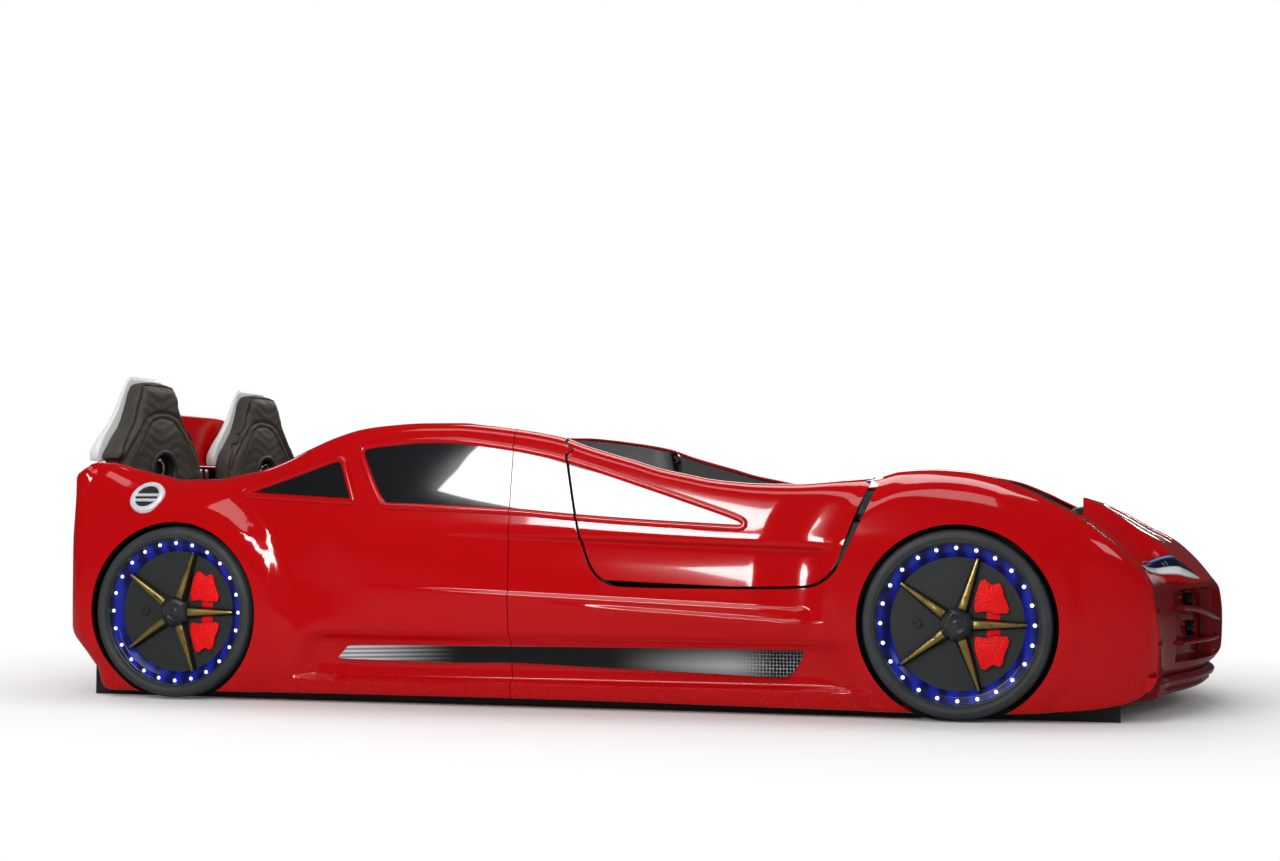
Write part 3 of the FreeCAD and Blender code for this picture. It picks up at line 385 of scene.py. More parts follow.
def buildLeatherGroup():
    # pebbled leatherette: cells, creases darkened with painted shade, and a rubbed sheen
    group, start, end = newGroup("leatherette", [
        ("Colour", "NodeSocketColor", (0.05, 0.04, 0.03, 1)), ("Worn Colour", "NodeSocketColor", (0.1, 0.09, 0.07, 1)),
        ("Roughness", "NodeSocketFloat", 0.45)], [
        ("Colour", "NodeSocketColor"), ("Roughness", "NodeSocketFloat"), ("Height", "NodeSocketFloat")])
    place = addNode(group, "ShaderNodeTexCoord").outputs["Object"]
    cell = addNode(group, "ShaderNodeTexVoronoi", feature="DISTANCE_TO_EDGE", in_Scale=420.0)
    group.links.new(place, cell.inputs["Vector"])
    crease = rampOut(group, cell.outputs["Distance"], 0.0, 0.18)
    broad = noiseOut(group, place, 11.0, 4.0, 0.6)
    rub = rampOut(group, broad, 0.4, 0.75)
    base = mixColour(group, mathNode(group, "MULTIPLY", rub, 0.5), start.outputs["Colour"],
                     start.outputs["Worn Colour"])
    # painted shade: the creases between the cells are darkened to half
    dark = mixColour(group, crease, mixColour(group, 0.5, base, (0.0, 0.0, 0.0, 1)), base)
    group.links.new(dark, end.inputs["Colour"])
    group.links.new(mathNode(group, "ADD", start.outputs["Roughness"],
                             mathNode(group, "MULTIPLY", mathNode(group, "SUBTRACT", 1.0, crease), 0.2), clamp=True),
                    end.inputs["Roughness"])
    wrinkle = mathNode(group, "MULTIPLY", noiseOut(group, place, 60.0, 3.0), 0.8)
    group.links.new(mathNode(group, "ADD", crease, wrinkle), end.inputs["Height"])
    return group


def buildWoodGroup():
    # sawn softwood along X or Y: rings and pores
    group, start, end = newGroup("sawnWood", [
        ("Colour", "NodeSocketColor", (0.62, 0.42, 0.24, 1)), ("Late Colour", "NodeSocketColor", (0.38, 0.21, 0.1, 1)),
        ("Along", "NodeSocketVector", (1.2, 22.0, 22.0))], [
        ("Colour", "NodeSocketColor"), ("Roughness", "NodeSocketFloat"), ("Height", "NodeSocketFloat")])
    place = addNode(group, "ShaderNodeTexCoord").outputs["Object"]
    stretch = addNode(group, "ShaderNodeVectorMath", operation="MULTIPLY")
    group.links.new(place, stretch.inputs[0])
    group.links.new(start.outputs["Along"], stretch.inputs[1])
    rings = noiseOut(group, stretch.outputs[0], 1.6, 5.0, 0.6)
    bands = mathNode(group, "FRACT", mathNode(group, "MULTIPLY", rings, 9.0))
    late = rampOut(group, bands, 0.3, 0.95)
    pores = rampOut(group, noiseOut(group, stretch.outputs[0], 14.0, 3.0), 0.5, 0.8)
    colour = mixColour(group, mathNode(group, "MULTIPLY", late, 0.7), start.outputs["Colour"],
                       start.outputs["Late Colour"])
    group.links.new(mixColour(group, mathNode(group, "MULTIPLY", pores, 0.25), colour, (0.2, 0.11, 0.05, 1)),
                    end.inputs["Colour"])
    group.links.new(mathNode(group, "ADD", 0.55, mathNode(group, "MULTIPLY", late, 0.15)), end.inputs["Roughness"])
    group.links.new(mathNode(group, "SUBTRACT", late, pores), end.inputs["Height"])
    return group


groups = {"paint": buildPaintGroup(), "grain": buildGrainGroup(), "leather": buildLeatherGroup(),
          "wood": buildWoodGroup()}


def newMaterial(name):
    material = bpy.data.materials.new(name)
    material.use_nodes = True
    tree = material.node_tree
    shader = next(node for node in tree.nodes if node.type == "BSDF_PRINCIPLED")
    return material, tree, shader


def groupMaterial(name, group, values, bump=0.1, distance=0.001, **shaderValues):
    material, tree, shader = newMaterial(name)
    effect = tree.nodes.new("ShaderNodeGroup")
    effect.node_tree = groups[group]
    for key, value in values.items():
        effect.inputs[key].default_value = value
    tree.links.new(effect.outputs["Colour"], shader.inputs["Base Color"])
    tree.links.new(effect.outputs["Roughness"], shader.inputs["Roughness"])
    relief = addNode(tree, "ShaderNodeBump", in_Strength=bump, in_Distance=distance)
    tree.links.new(effect.outputs["Height"], relief.inputs["Height"])
    tree.links.new(relief.outputs[0], shader.inputs["Normal"])
    for key, value in shaderValues.items():
        shader.inputs[key.replace("_", " ")].default_value = value
    return material


def fromByte(red, green, blue):
    # colour written as it shows on the screen, turned into linear light
    def part(value):
        value = value / 255
        return value / 12.92 if value <= 0.04045 else ((value + 0.055) / 1.055) ** 2.4
    return (part(red), part(green), part(blue), 1.0)


finishes = {
    "redGloss": groupMaterial("redGloss", "paint", {
        "Colour": fromByte(186, 6, 12), "Drift": 0.10, "Roughness": 0.10, "Marks": 0.05, "Ripple": 0.25,
        "Dust": 0.06}, bump=0.05, distance=0.002, Coat_Weight=0.75, Coat_Roughness=0.03, Specular_IOR_Level=0.20),
    # darker red: painted shade for the shadowed lower front of the nose, its grille bars and lip
    "darkRed": groupMaterial("darkRed", "paint", {
        "Colour": fromByte(120, 8, 14), "Drift": 0.25, "Roughness": 0.16, "Marks": 0.08, "Ripple": 0.25,
        "Dust": 0.06}, bump=0.05, distance=0.002, Coat_Weight=0.5, Coat_Roughness=0.05, Specular_IOR_Level=0.20),
    "blackGloss": groupMaterial("blackGloss", "paint", {
        "Colour": fromByte(24, 25, 27), "Drift": 0.2, "Roughness": 0.08, "Marks": 0.06, "Ripple": 0.2,
        "Dust": 0.03}, bump=0.03, distance=0.002, Coat_Weight=0.9, Coat_Roughness=0.02, Specular_IOR_Level=0.3),
    "whiteGloss": groupMaterial("whiteGloss", "paint", {
        "Colour": fromByte(226, 228, 228), "Drift": 0.05, "Roughness": 0.25, "Marks": 0.10, "Ripple": 0.3,
        "Dust": 0.3}, bump=0.05, distance=0.002),
    "blackBoard": groupMaterial("blackBoard", "grain", {
        "Colour": fromByte(34, 34, 35), "Worn Colour": fromByte(60, 60, 60), "Roughness": 0.35,
        "Grain Scale": 500.0, "Wear": 0.12}, bump=0.12, distance=0.0006),
    "rubber": groupMaterial("rubber", "grain", {
        "Colour": fromByte(48, 52, 54), "Worn Colour": fromByte(78, 81, 83), "Roughness": 0.62,
        "Grain Scale": 700.0, "Wear": 0.35}, bump=0.2, distance=0.0006),
    "rimPlastic": groupMaterial("rimPlastic", "grain", {
        "Colour": fromByte(42, 46, 45), "Worn Colour": fromByte(66, 70, 68), "Roughness": 0.42,
        "Grain Scale": 900.0, "Wear": 0.25}, bump=0.1, distance=0.0004),
    "blackPlastic": groupMaterial("blackPlastic", "grain", {
        "Colour": fromByte(28, 29, 30), "Worn Colour": fromByte(70, 70, 70), "Roughness": 0.5,
        "Grain Scale": 1100.0, "Wear": 0.3}, bump=0.15, distance=0.0004),
    "steel": groupMaterial("steel", "grain", {
        "Colour": fromByte(190, 190, 188), "Worn Colour": fromByte(150, 148, 144), "Roughness": 0.35,
        "Grain Scale": 1500.0, "Wear": 0.5}, bump=0.05, distance=0.0003, Metallic=1.0),
    "chrome": groupMaterial("chrome", "grain", {
        "Colour": fromByte(215, 216, 218), "Worn Colour": fromByte(170, 170, 172), "Roughness": 0.14,
        "Grain Scale": 1500.0, "Wear": 0.3}, bump=0.02, distance=0.0002, Metallic=1.0),
    "gold": groupMaterial("gold", "grain", {
        "Colour": fromByte(196, 176, 104), "Worn Colour": fromByte(150, 128, 66), "Roughness": 0.36,
        "Grain Scale": 1800.0, "Wear": 0.6}, bump=0.04, distance=0.0002, Metallic=0.9),
    "caliperRed": groupMaterial("caliperRed", "grain", {
        "Colour": fromByte(232, 12, 14), "Worn Colour": fromByte(170, 8, 10), "Roughness": 0.34,
        "Grain Scale": 260.0, "Wear": 0.5}, bump=0.6, distance=0.0018, Coat_Weight=0.05, Coat_Roughness=0.25,
        Specular_IOR_Level=0.15),
    "headRed": groupMaterial("headRed", "paint", {
        "Colour": fromByte(205, 0, 3), "Drift": 0.10, "Roughness": 0.20, "Marks": 0.05, "Ripple": 0.25,
        "Dust": 0.03}, bump=0.05, distance=0.002, Coat_Weight=0.05, Coat_Roughness=0.05, Specular_IOR_Level=0.08),
    "leather": groupMaterial("leather", "leather", {
        "Colour": fromByte(66, 60, 52), "Worn Colour": fromByte(88, 82, 72), "Roughness": 0.48},
        bump=0.35, distance=0.0007),
    "seam": groupMaterial("seam", "grain", {
        "Colour": fromByte(120, 22, 20), "Worn Colour": fromByte(80, 20, 18), "Roughness": 0.7,
        "Grain Scale": 2400.0, "Wear": 0.5}, bump=0.3, distance=0.0004),
    "woodLong": groupMaterial("woodLong", "wood", {}, bump=0.25, distance=0.0006),
    "woodCross": groupMaterial("woodCross", "wood", {"Along": (22.0, 1.2, 22.0)}, bump=0.25, distance=0.0006),
}
print("finishes:", len(finishes))
# ---------------------------------------------------------------- side shells
shellSetup = {
    "thick": 0.004,
    "columnStep": 0.0075,
    "rearX": -1.187,
    "cornerRadius": 0.048,
    "halfWidth": 0.540,
    "boardFace": 0.4705,
    "innerEdge": 0.4525,
    "rearAxle": -0.9315,
    "frontAxle": 0.6885,
    "axleHeight": 0.182,
    "archRadius": 0.188,
    "seamX": -0.195,
    "seamGap": 0.0016,
    "rearGap": 0.0055,     # daylight round the door
    "frontGap": 0.0065,
    "hingeBack": 0.0025,
    "hingeRoom": 0.0085,    # more by the hinge, for the swing of the door's edge
}
rowCounts = [4, 6, 2, 8, 4, 8, 3, 6, 3, 14, 5, 9]

railPoints = [
    (-1.187, 0.478), (-1.179, 0.486), (-1.167, 0.492), (-1.150, 0.4965), (-1.117, 0.497), (-1.0615, 0.483),
    (-0.9995, 0.469), (-0.9515, 0.460), (-0.8805, 0.460), (-0.8215, 0.468), (-0.7615, 0.479),
    (-0.7035, 0.497), (-0.646, 0.523), (-0.588, 0.547), (-0.531, 0.563), (-0.474, 0.570), (-0.400, 0.574),
    (-0.319, 0.5735), (-0.264, 0.569), (-0.209, 0.562), (-0.155, 0.554), (-0.101, 0.543), (-0.047, 0.524),
    (0.006, 0.508), (0.059, 0.493), (0.112, 0.477), (0.164, 0.466), (0.215, 0.456), (0.267, 0.4505),
    (0.302, 0.448), (0.381, 0.447), (0.460, 0.453), (0.532, 0.460), (0.5765, 0.472), (0.6365, 0.475),
    (0.6985, 0.471), (0.7585, 0.459), (0.8175, 0.436), (0.8765, 0.408), (0.922, 0.385), (0.979, 0.343),
    (1.013, 0.308), (1.042, 0.263), (1.052, 0.208), (1.0595, 0.150)]
bottomPoints = [
    (-1.187, 0.013), (-1.101, 0.013), (-0.8315, 0.016), (-0.195, 0.018), (0.6885, 0.012), (0.9005, 0.022),
    (1.0, 0.035), (1.05, 0.062), (1.0595, 0.085)]
widthPoints = [
    (-0.05, 0.512), (0.02, 0.521), (0.07, 0.530), (0.13, 0.536), (0.20, 0.5395), (0.30, 0.5400),
    (0.345, 0.5380), (0.372, 0.5337), (0.40, 0.5287), (0.43, 0.5229), (0.46, 0.5168), (0.49, 0.5104), (0.52, 0.5038),
    (0.547, 0.4976), (0.574, 0.4914), (0.64, 0.4760)]
rollPoints = [   # x, height and reach of the rounded top edge
    (-1.187, 0.020, 0.018), (-1.10, 0.050, 0.036), (-0.98, 0.070, 0.050), (-0.84, 0.055, 0.042),
    (-0.68, 0.028, 0.026), (-0.50, 0.020, 0.020), (0.10, 0.020, 0.020), (0.40, 0.030, 0.028),
    (0.54, 0.060, 0.046), (0.70, 0.080, 0.056), (0.90, 0.070, 0.050), (0.99, 0.050, 0.030),
    (1.0595, 0.020, 0.004)]
flarePoints = [  # angle from straight ahead, radius of the front wheel's flare
    (-180, 0.232), (-60, 0.222), (-18, 0.216), (7, 0.217), (27, 0.228), (52, 0.248), (72, 0.260), (93, 0.267),
    (111, 0.271), (124, 0.269), (150, 0.262), (180, 0.232)]
rearEdge = [(0.0, 0.086), (0.013, 0.080), (0.021, 0.072), (0.062, 0.059), (0.100, 0.028), (0.137, 0.002),
            (0.150, 0.0), (0.7, 0.0)]


def planPath():
    s = shellSetup
    r = s["cornerRadius"]
    points = [(s["rearX"], -s["innerEdge"] - (s["halfWidth"] - r - s["innerEdge"]) * k / 6) for k in range(6)]
    for k in range(13):
        turn = math.radians(90 * k / 12)
        points.append((s["rearX"] + r - r * math.cos(turn), -(s["halfWidth"] - r) - r * math.sin(turn)))
    count = round((0.85 - points[-1][0]) / s["columnStep"])
    start = points[-1][0]
    points += [(start + (0.85 - start) * k / count, -s["halfWidth"]) for k in range(1, count + 1)]
    nose = [(0.85, 0.540), (0.90, 0.5365), (0.945, 0.5285), (0.985, 0.515), (1.018, 0.4975), (1.042, 0.478),
            (1.0595, 0.4525)]
    xs = 0.85 + (1.0595 - 0.85) * np.sin(np.linspace(0, math.pi / 2, 37)[1:])
    points += [(float(x), -float(curveAt(nose, x))) for x in xs]
    return np.array(points)


def shellInset(x, z, sideShare):
    # how far the outer face stands in from the plan outline, at every x and z
    s = shellSetup
    width = curveAt(widthPoints, z)
    inset = (s["halfWidth"] - width) * sideShare
    # sill recess for the strip, with a soft upper slope
    along = smoothStep(-0.668, -0.606, x - (z - 0.10) * 0.35) * (1 - smoothStep(0.415, 0.53, x + (z - 0.1) * 0.2))
    inset = inset + 0.021 * along * (1 - smoothStep(0.122, 0.154, z)) * smoothStep(0.046, 0.060, z)
    # two shelf lines that catch the light, then the belt line
    one = 0.248 - 0.0413 * (x + 0.545)
    two = np.minimum(0.218 - 0.0581 * (x + 0.149), one - 0.012)
    belt = 0.352 - 0.0345 * (x + 0.361)
    for line, first, full, last, depth, tail in (
            (one, -0.56, -0.15, 0.402, 0.0042, 0.060), (two, -0.16, 0.10, 0.404, 0.0040, 0.045)):
        d = line - z
        share = smoothStep(first, full, x) * (1 - smoothStep(last - 0.010, last + 0.006, x))
        inset = inset - depth * share * smoothStep(-0.002, 0.007, d) * (1 - smoothStep(0.010, tail, d))
    d = belt - z
    share = smoothStep(-0.42, 0.08, x) * (1 - smoothStep(0.432, 0.452, x + d * 0.1))
    inset = inset + 0.0105 * share * smoothStep(-0.001, 0.009, d) * (1 - smoothStep(0.018, 0.082, d))
    inset = inset - 0.002 * smoothStep(-0.42, 0.08, x) * (1 - smoothStep(0.43, 0.50, x)) \
        * smoothStep(-0.030, -0.004, d) * (1 - smoothStep(-0.003, 0.004, d))
    # flares round the wheels
    dx = x - s["rearAxle"]
    dz = z - s["axleHeight"]
    r = np.hypot(dx, dz)
    turn = np.degrees(np.arctan2(dz, dx))
    edge = 0.229 + 0.012 * (1 - smoothStep(-10, 20, turn)) * smoothStep(-60, -20, turn)
    band = 1 - smoothStep(edge - 0.004, edge + 0.012, r)
    inset = inset - 0.0045 * band * smoothStep(-1.18, -1.12, x)
    hollow = smoothStep(-25, 15, turn) * (1 - smoothStep(105, 150, turn))
    inset = inset + 0.013 * hollow * smoothStep(edge, edge + 0.045, r) * (1 - smoothStep(edge + 0.075, edge + 0.22, r))
    dx = x - s["frontAxle"]
    r = np.hypot(dx, dz)
    turn = np.degrees(np.arctan2(dz, dx))
    edge = curveAt(flarePoints, turn)
    band = 1 - smoothStep(edge - 0.004, edge + 0.014, r)
    inset = inset - 0.0048 * band * (1 - smoothStep(0.90, 0.96, x))
    hollow = smoothStep(40, 80, turn) * (1 - smoothStep(165, 185, turn))
    inset = inset + 0.010 * hollow * smoothStep(edge, edge + 0.05, r) * (1 - smoothStep(edge + 0.06, edge + 0.16, r))
    return inset


def shellGrid(xFrom, xTo, zFrom=None):
    s = shellSetup
    path = planPath()
    tangent = np.gradient(path, axis=0)
    tangent /= np.linalg.norm(tangent, axis=1)[:, None]
    normal = np.stack([-tangent[:, 1], tangent[:, 0]], axis=1)   # points into the bed
    keepColumns = np.where((path[:, 0] >= xFrom - 1e-6) & (path[:, 0] <= xTo + 1e-6))[0]
    path, normal = path[keepColumns], normal[keepColumns]
    x = path[:, 0]
    top = curveAt(railPoints, x)
    low = curveAt(bottomPoints, x)
    rollHigh = curveAt([(a, b) for a, b, c in rollPoints], x)
    rollIn = curveAt([(a, c) for a, b, c in rollPoints], x)
    k0 = low + 0.008
    k8 = top - rollHigh
    one = 0.248 - 0.0413 * (x + 0.545)
    two = np.minimum(0.218 - 0.0581 * (x + 0.149), one - 0.012)
    belt = 0.352 - 0.0345 * (x + 0.361)
    keys = [k0, 0.044 + 0 * x, 0.060 + 0 * x, 0.122 + 0 * x, 0.154 + 0 * x, two - 0.008, two + 0.003, one - 0.008,
            one + 0.003, belt - 0.020, belt - 0.010, belt + 0.002, k8]
    nominal = np.array([0.02, 0.044, 0.060, 0.122, 0.154, 0.185, 0.196, 0.215, 0.226, 0.315, 0.325, 0.337, 0.42])
    squeeze = np.clip((k8 - k0) / (nominal[-1] - nominal[0]), 0.0, 1.0)
    useNominal = smoothStep(0.93, 0.80, squeeze) if False else 1 - smoothStep(0.80, 0.93, squeeze)
    rows = []
    # turned-in flange along the bottom
    flange = [(0.055, 0.006), (0.030, 0.001), (0.010, 0.0), (0.003, 0.002)]
    stack = []
    for index in range(len(keys)):
        squeezed = k0 + (nominal[index] - nominal[0]) * squeeze
        stack.append(keys[index] * (1 - useNominal) + squeezed * useNominal)
    for index in range(1, len(stack)):
        stack[index] = np.maximum(stack[index], stack[index - 1] + 0.0008)
    stack[-1] = k8
    for index in range(len(stack) - 2, 0, -1):
        stack[index] = np.minimum(stack[index], stack[index + 1] - 0.0008)
    counts = rowCounts
    for index, count in enumerate(counts):
        for k in range(count):
            rows.append(stack[index] + (stack[index + 1] - stack[index]) * k / count)
    rows.append(k8)
    body = np.array(rows)                                  # rows x columns
    grid = []
    sideShare = np.abs(normal[:, 1]) ** 2
    towardFront = np.where(x > 0.85, 1.0, sideShare)

    def place(z, extra=0.0, lift=None):
        inset = shellInset(x, z, towardFront if lift is None else towardFront) + extra
        # the rear lower corner is cut back under the tail
        back = curveAt(rearEdge, z) * (1 - smoothStep(-1.130, -1.010, x))
        px = x + back + normal[:, 0] * inset
        py = path[:, 1] + normal[:, 1] * inset
        return px, np.minimum(py, -s["innerEdge"])

    for reach, lift in flange:
        px, py = place(low + 0.002, reach)
        grid.append(np.stack([px, np.minimum(py, -s["boardFace"] - 0.001), low + lift], axis=1))
    for z in body:
        px, py = place(z)
        grid.append(np.stack([px, py, z], axis=1))
    for k in range(1, 10):
        turn = math.radians(10 * k)
        z = k8 + rollHigh * math.sin(turn)
        px, py = place(z, rollIn * (1 - math.cos(turn)))
        grid.append(np.stack([px, py, z], axis=1))
    endX, endY, endZ = grid[-1].T
    goalX = np.maximum(x, -1.1495)
    for share in (0.5, 1.0):
        grid.append(np.stack([endX + (goalX - endX) * share, endY + (-s["innerEdge"] - endY) * share,
                              endZ - 0.0005 * share], axis=1))
    grid = np.array(grid)
    if zFrom is not None:
        keepRows = np.where(body.min(axis=1) > zFrom)[0]
        first = len(flange) + (keepRows[0] if len(keepRows) else 0)
        grid = grid[first:]
    return grid


def makeSkin(name, xFrom, xTo, zFrom=None):
    piece = gridPiece(name, shellGrid(xFrom, xTo, zFrom))
    tidyMesh(piece, 0.0002)
    # the outer face has to look outwards before the wall gets its thickness
    mesh = piece.data
    middle = min(mesh.polygons, key=lambda face: (face.center - Vector(((xFrom + xTo) / 2, -0.54, 0.33))).length)
    if middle.normal.y > 0:
        mesh.flip_normals()
    applyModifier(piece, "SOLIDIFY", thickness=shellSetup["thick"], offset=-1.0, use_even_offset=False)
    return piece


def doorOutline(rear, front, low, top=0.0):
    rear0, front0, rail0, low0 = -0.084, 0.530, 0.447, 0.249
    points = [
        (rear0 - rear, 0.640), (rear0 - rear, rail0 + 0.082), (rear0 + 0.010 - rear, rail0 + 0.029),
        (rear0 + 0.031 - rear, rail0 - 0.071), (rear0 + 0.046 - rear, low0 + 0.071),
        (rear0 + 0.066 - rear, low0 + 0.027 - low * 0.5), (rear0 + 0.091 - rear * 0.6, low0 + 0.008 - low),
        (rear0 + 0.120, low0 - low), (front0 - 0.135, low0 - low), (front0 - 0.102 + front * 0.6, low0 + 0.010 - low),
        (front0 - 0.075 + front, low0 + 0.031 - low * 0.5), (front0 - 0.055 + front + top * 0.35, low0 + 0.073),
        (front0 - 0.031 + front + top, rail0 - 0.061), (front0 - 0.012 + front + top, rail0 - 0.017),
        (front0 + front + top, rail0 + 0.010), (front0 + 0.004 + front + top, 0.640)]
    first = points[:2]
    last = points[-2:]
    middle = roundedOutline(points[1:-1], 0.4, 4)[3:-3]
    return first + middle + last


def archCutter(axleX):
    clearSelection()
    bpy.ops.mesh.primitive_cylinder_add(vertices=128, radius=shellSetup["archRadius"], depth=0.3,
                                        location=(axleX, -0.55, shellSetup["axleHeight"]),
                                        rotation=(math.radians(90), 0, 0))
    piece = bpy.context.active_object
    bpy.ops.object.transform_apply(location=True, rotation=True, scale=True)
    return piece


def archLiner(name, axleX):
    # short turned-in wall behind the arch edge
    s = shellSetup
    r = s["archRadius"]
    profile = [(r, -0.012), (r + 0.004, -0.012), (r + 0.004, 0.046), (r, 0.046)]
    piece = spunPiece(name, profile, (axleX, -0.519, s["axleHeight"]), 96)
    choose(piece)
    bpy.ops.object.mode_set(mode="EDIT")
    bpy.ops.mesh.select_all(action="SELECT")
    bpy.ops.mesh.bisect(plane_co=(0, 0, 0.020), plane_no=(0, 0, 1), clear_inner=True, use_fill=True)
    bpy.ops.object.mode_set(mode="OBJECT")
    return piece


shells = {}


def buildShells():
    s = shellSetup
    rear = makeSkin("rearShell_r", -1.2, s["seamX"] + 0.02)
    choose(rear)
    bpy.ops.object.mode_set(mode="EDIT")
    bpy.ops.mesh.select_all(action="SELECT")
    bpy.ops.mesh.bisect(plane_co=(s["seamX"] - s["seamGap"] / 2, 0, 0), plane_no=(1, 0, 0), clear_outer=True,
                        use_fill=True)
    bpy.ops.object.mode_set(mode="OBJECT")
    cutWith(rear, archCutter(s["rearAxle"]))
    front = makeSkin("frontShell_r", s["seamX"] - 0.02, 1.2)
    choose(front)
    bpy.ops.object.mode_set(mode="EDIT")
    bpy.ops.mesh.select_all(action="SELECT")
    bpy.ops.mesh.bisect(plane_co=(s["seamX"] + s["seamGap"] / 2, 0, 0), plane_no=(1, 0, 0), clear_inner=True,
                        use_fill=True)
    bpy.ops.object.mode_set(mode="OBJECT")
    cutWith(front, archCutter(s["frontAxle"]))
    cutWith(front, prismPiece("doorCut", doorOutline(s["rearGap"], s["frontGap"], s["rearGap"], s["hingeRoom"]),
                               -0.62, -0.40))
    door = makeSkin("doorShell_r", -0.14, 0.59, 0.232)
    cutWith(door, prismPiece("doorKeep", doorOutline(0, 0, 0, -s["hingeBack"]), -0.62, -0.40), "INTERSECT")
    shells.update(rear=rear, front=front, door=door)


buildShells()
for key in ("rear", "front", "door"):
    twin = copyPiece(shells[key], shells[key].name[:-2] + "_l", mirror=True)
    for side, piece in (("r", shells[key]), ("l", twin)):
        node = {"rear": "side_rear_", "front": "side_front_", "door": "door_skin_"}[key] + side
        dress(piece, finishes["redGloss"], sides[side][0] if key == "door" else "bed", (node,), 38)
print("side shells done")
# ---------------------------------------------------------------- windows
windowSetup = {
    "proud": 0.0006,      # dark pane above the paint
    "thick": 0.0022,
    "trimWidth": 0.0145,
    "trimHeight": 0.0052,
}
mainWindow = [
    (-0.531, 0.520), (-0.504, 0.529), (-0.401, 0.539), (-0.314, 0.538), (-0.185, 0.520), (-0.080, 0.498),
    (0.075, 0.448), (0.274, 0.382), (0.287, 0.370), (0.279, 0.361), (0.262, 0.3615), (0.065, 0.372),
    (-0.070, 0.382), (-0.196, 0.3935), (-0.444, 0.4035), (-0.470, 0.4035)]
quarterWindow = [
    (-0.790, 0.430), (-0.753, 0.443), (-0.660, 0.473), (-0.576, 0.502), (-0.562, 0.498), (-0.531, 0.414),
    (-0.540, 0.412), (-0.778, 0.4255)]


def facePoint(x, z, out=0.0):
    step = 0.002
    y = -(shellSetup["halfWidth"] - float(shellInset(np.array(x), np.array(z), 1.0)))
    dydx = (-(shellSetup["halfWidth"] - float(shellInset(np.array(x + step), np.array(z), 1.0))) - y) / step
    dydz = (-(shellSetup["halfWidth"] - float(shellInset(np.array(x), np.array(z + step), 1.0))) - y) / step
    normal = Vector((dydx, -1.0, dydz)).normalized()
    return Vector((x, y, z)) + normal * out, normal


def evenOutline(points, spacing):
    # the same closed outline with points at even distances
    points = [Vector(p) for p in points]
    lengths = [0.0]
    for i in range(len(points)):
        lengths.append(lengths[-1] + (points[(i + 1) % len(points)] - points[i]).length)
    count = max(12, round(lengths[-1] / spacing))
    result = []
    for k in range(count):
        want = lengths[-1] * k / count
        i = max(j for j in range(len(points)) if lengths[j] <= want + 1e-12)
        share = (want - lengths[i]) / max(1e-9, lengths[i + 1] - lengths[i])
        result.append(points[i].lerp(points[(i + 1) % len(points)], share))
    return result


def makePane(name, outline):
    xs = np.arange(min(p[0] for p in outline) - 0.015, max(p[0] for p in outline) + 0.016, 0.008)
    zs = np.arange(min(p[1] for p in outline) - 0.010, max(p[1] for p in outline) + 0.011, 0.008)
    points = np.array([[facePoint(x, z, windowSetup["proud"])[0][:] for x in xs] for z in zs])
    piece = gridPiece(name, points)
    if piece.data.polygons[0].normal.y > 0:
        piece.data.flip_normals()
    applyModifier(piece, "SOLIDIFY", thickness=windowSetup["thick"], offset=-1.0)
    cutWith(piece, prismPiece("paneKeep", outline, -0.60, -0.42), "INTERSECT")
    return piece


def makeTrim(name, outline):
    # half-round raised trim that follows the window's edge on the curved face
    line = evenOutline(outline, 0.006)
    width, height = windowSetup["trimWidth"] / 2, windowSetup["trimHeight"]
    section = [(-width, -0.002), (-width, 0.0004), (-width * 0.82, height * 0.55), (-width * 0.45, height * 0.92),
               (0.0, height), (width * 0.45, height * 0.92), (width * 0.82, height * 0.55), (width, 0.0004),
               (width, -0.002)]
    rows = []
    for i, point in enumerate(line):
        here, normal = facePoint(point.x, point.y)
        ahead, _ = facePoint(*line[(i + 1) % len(line)])
        behind, _ = facePoint(*line[i - 1])
        tangent = (ahead - behind).normalized()
        across = normal.cross(tangent).normalized()
        rows.append([(here + across * a + normal * b)[:] for a, b in section + section[:1]])
    rows.append(rows[0])
    piece = gridPiece(name, np.array(rows))
    return tidyMesh(piece, 0.00002)


def halves(piece, x, keepRear):
    choose(piece)
    bpy.ops.object.mode_set(mode="EDIT")
    bpy.ops.mesh.select_all(action="SELECT")
    bpy.ops.mesh.bisect(plane_co=(x, 0, 0), plane_no=(1, 0, 0), clear_outer=keepRear, clear_inner=not keepRear,
                        use_fill=True)
    bpy.ops.object.mode_set(mode="OBJECT")
    return piece


def splitByDoor(piece, name):
    # rear part, part between the panel joint and the door, door part
    s = shellSetup
    middle = copyPiece(piece, name + "Mid_r")
    door = copyPiece(piece, name + "Door_r")
    piece.name = name + "Rear_r"
    halves(piece, s["seamX"] - s["seamGap"] / 2, True)
    halves(middle, s["seamX"] + s["seamGap"] / 2, False)
    halves(middle, 0.1, True)
    halves(door, -0.15, False)
    cutWith(middle, prismPiece("cutA", doorOutline(s["rearGap"], s["frontGap"], s["rearGap"]), -0.62, -0.40))
    cutWith(door, prismPiece("cutB", doorOutline(0, 0, 0), -0.62, -0.40), "INTERSECT")
    return piece, middle, door


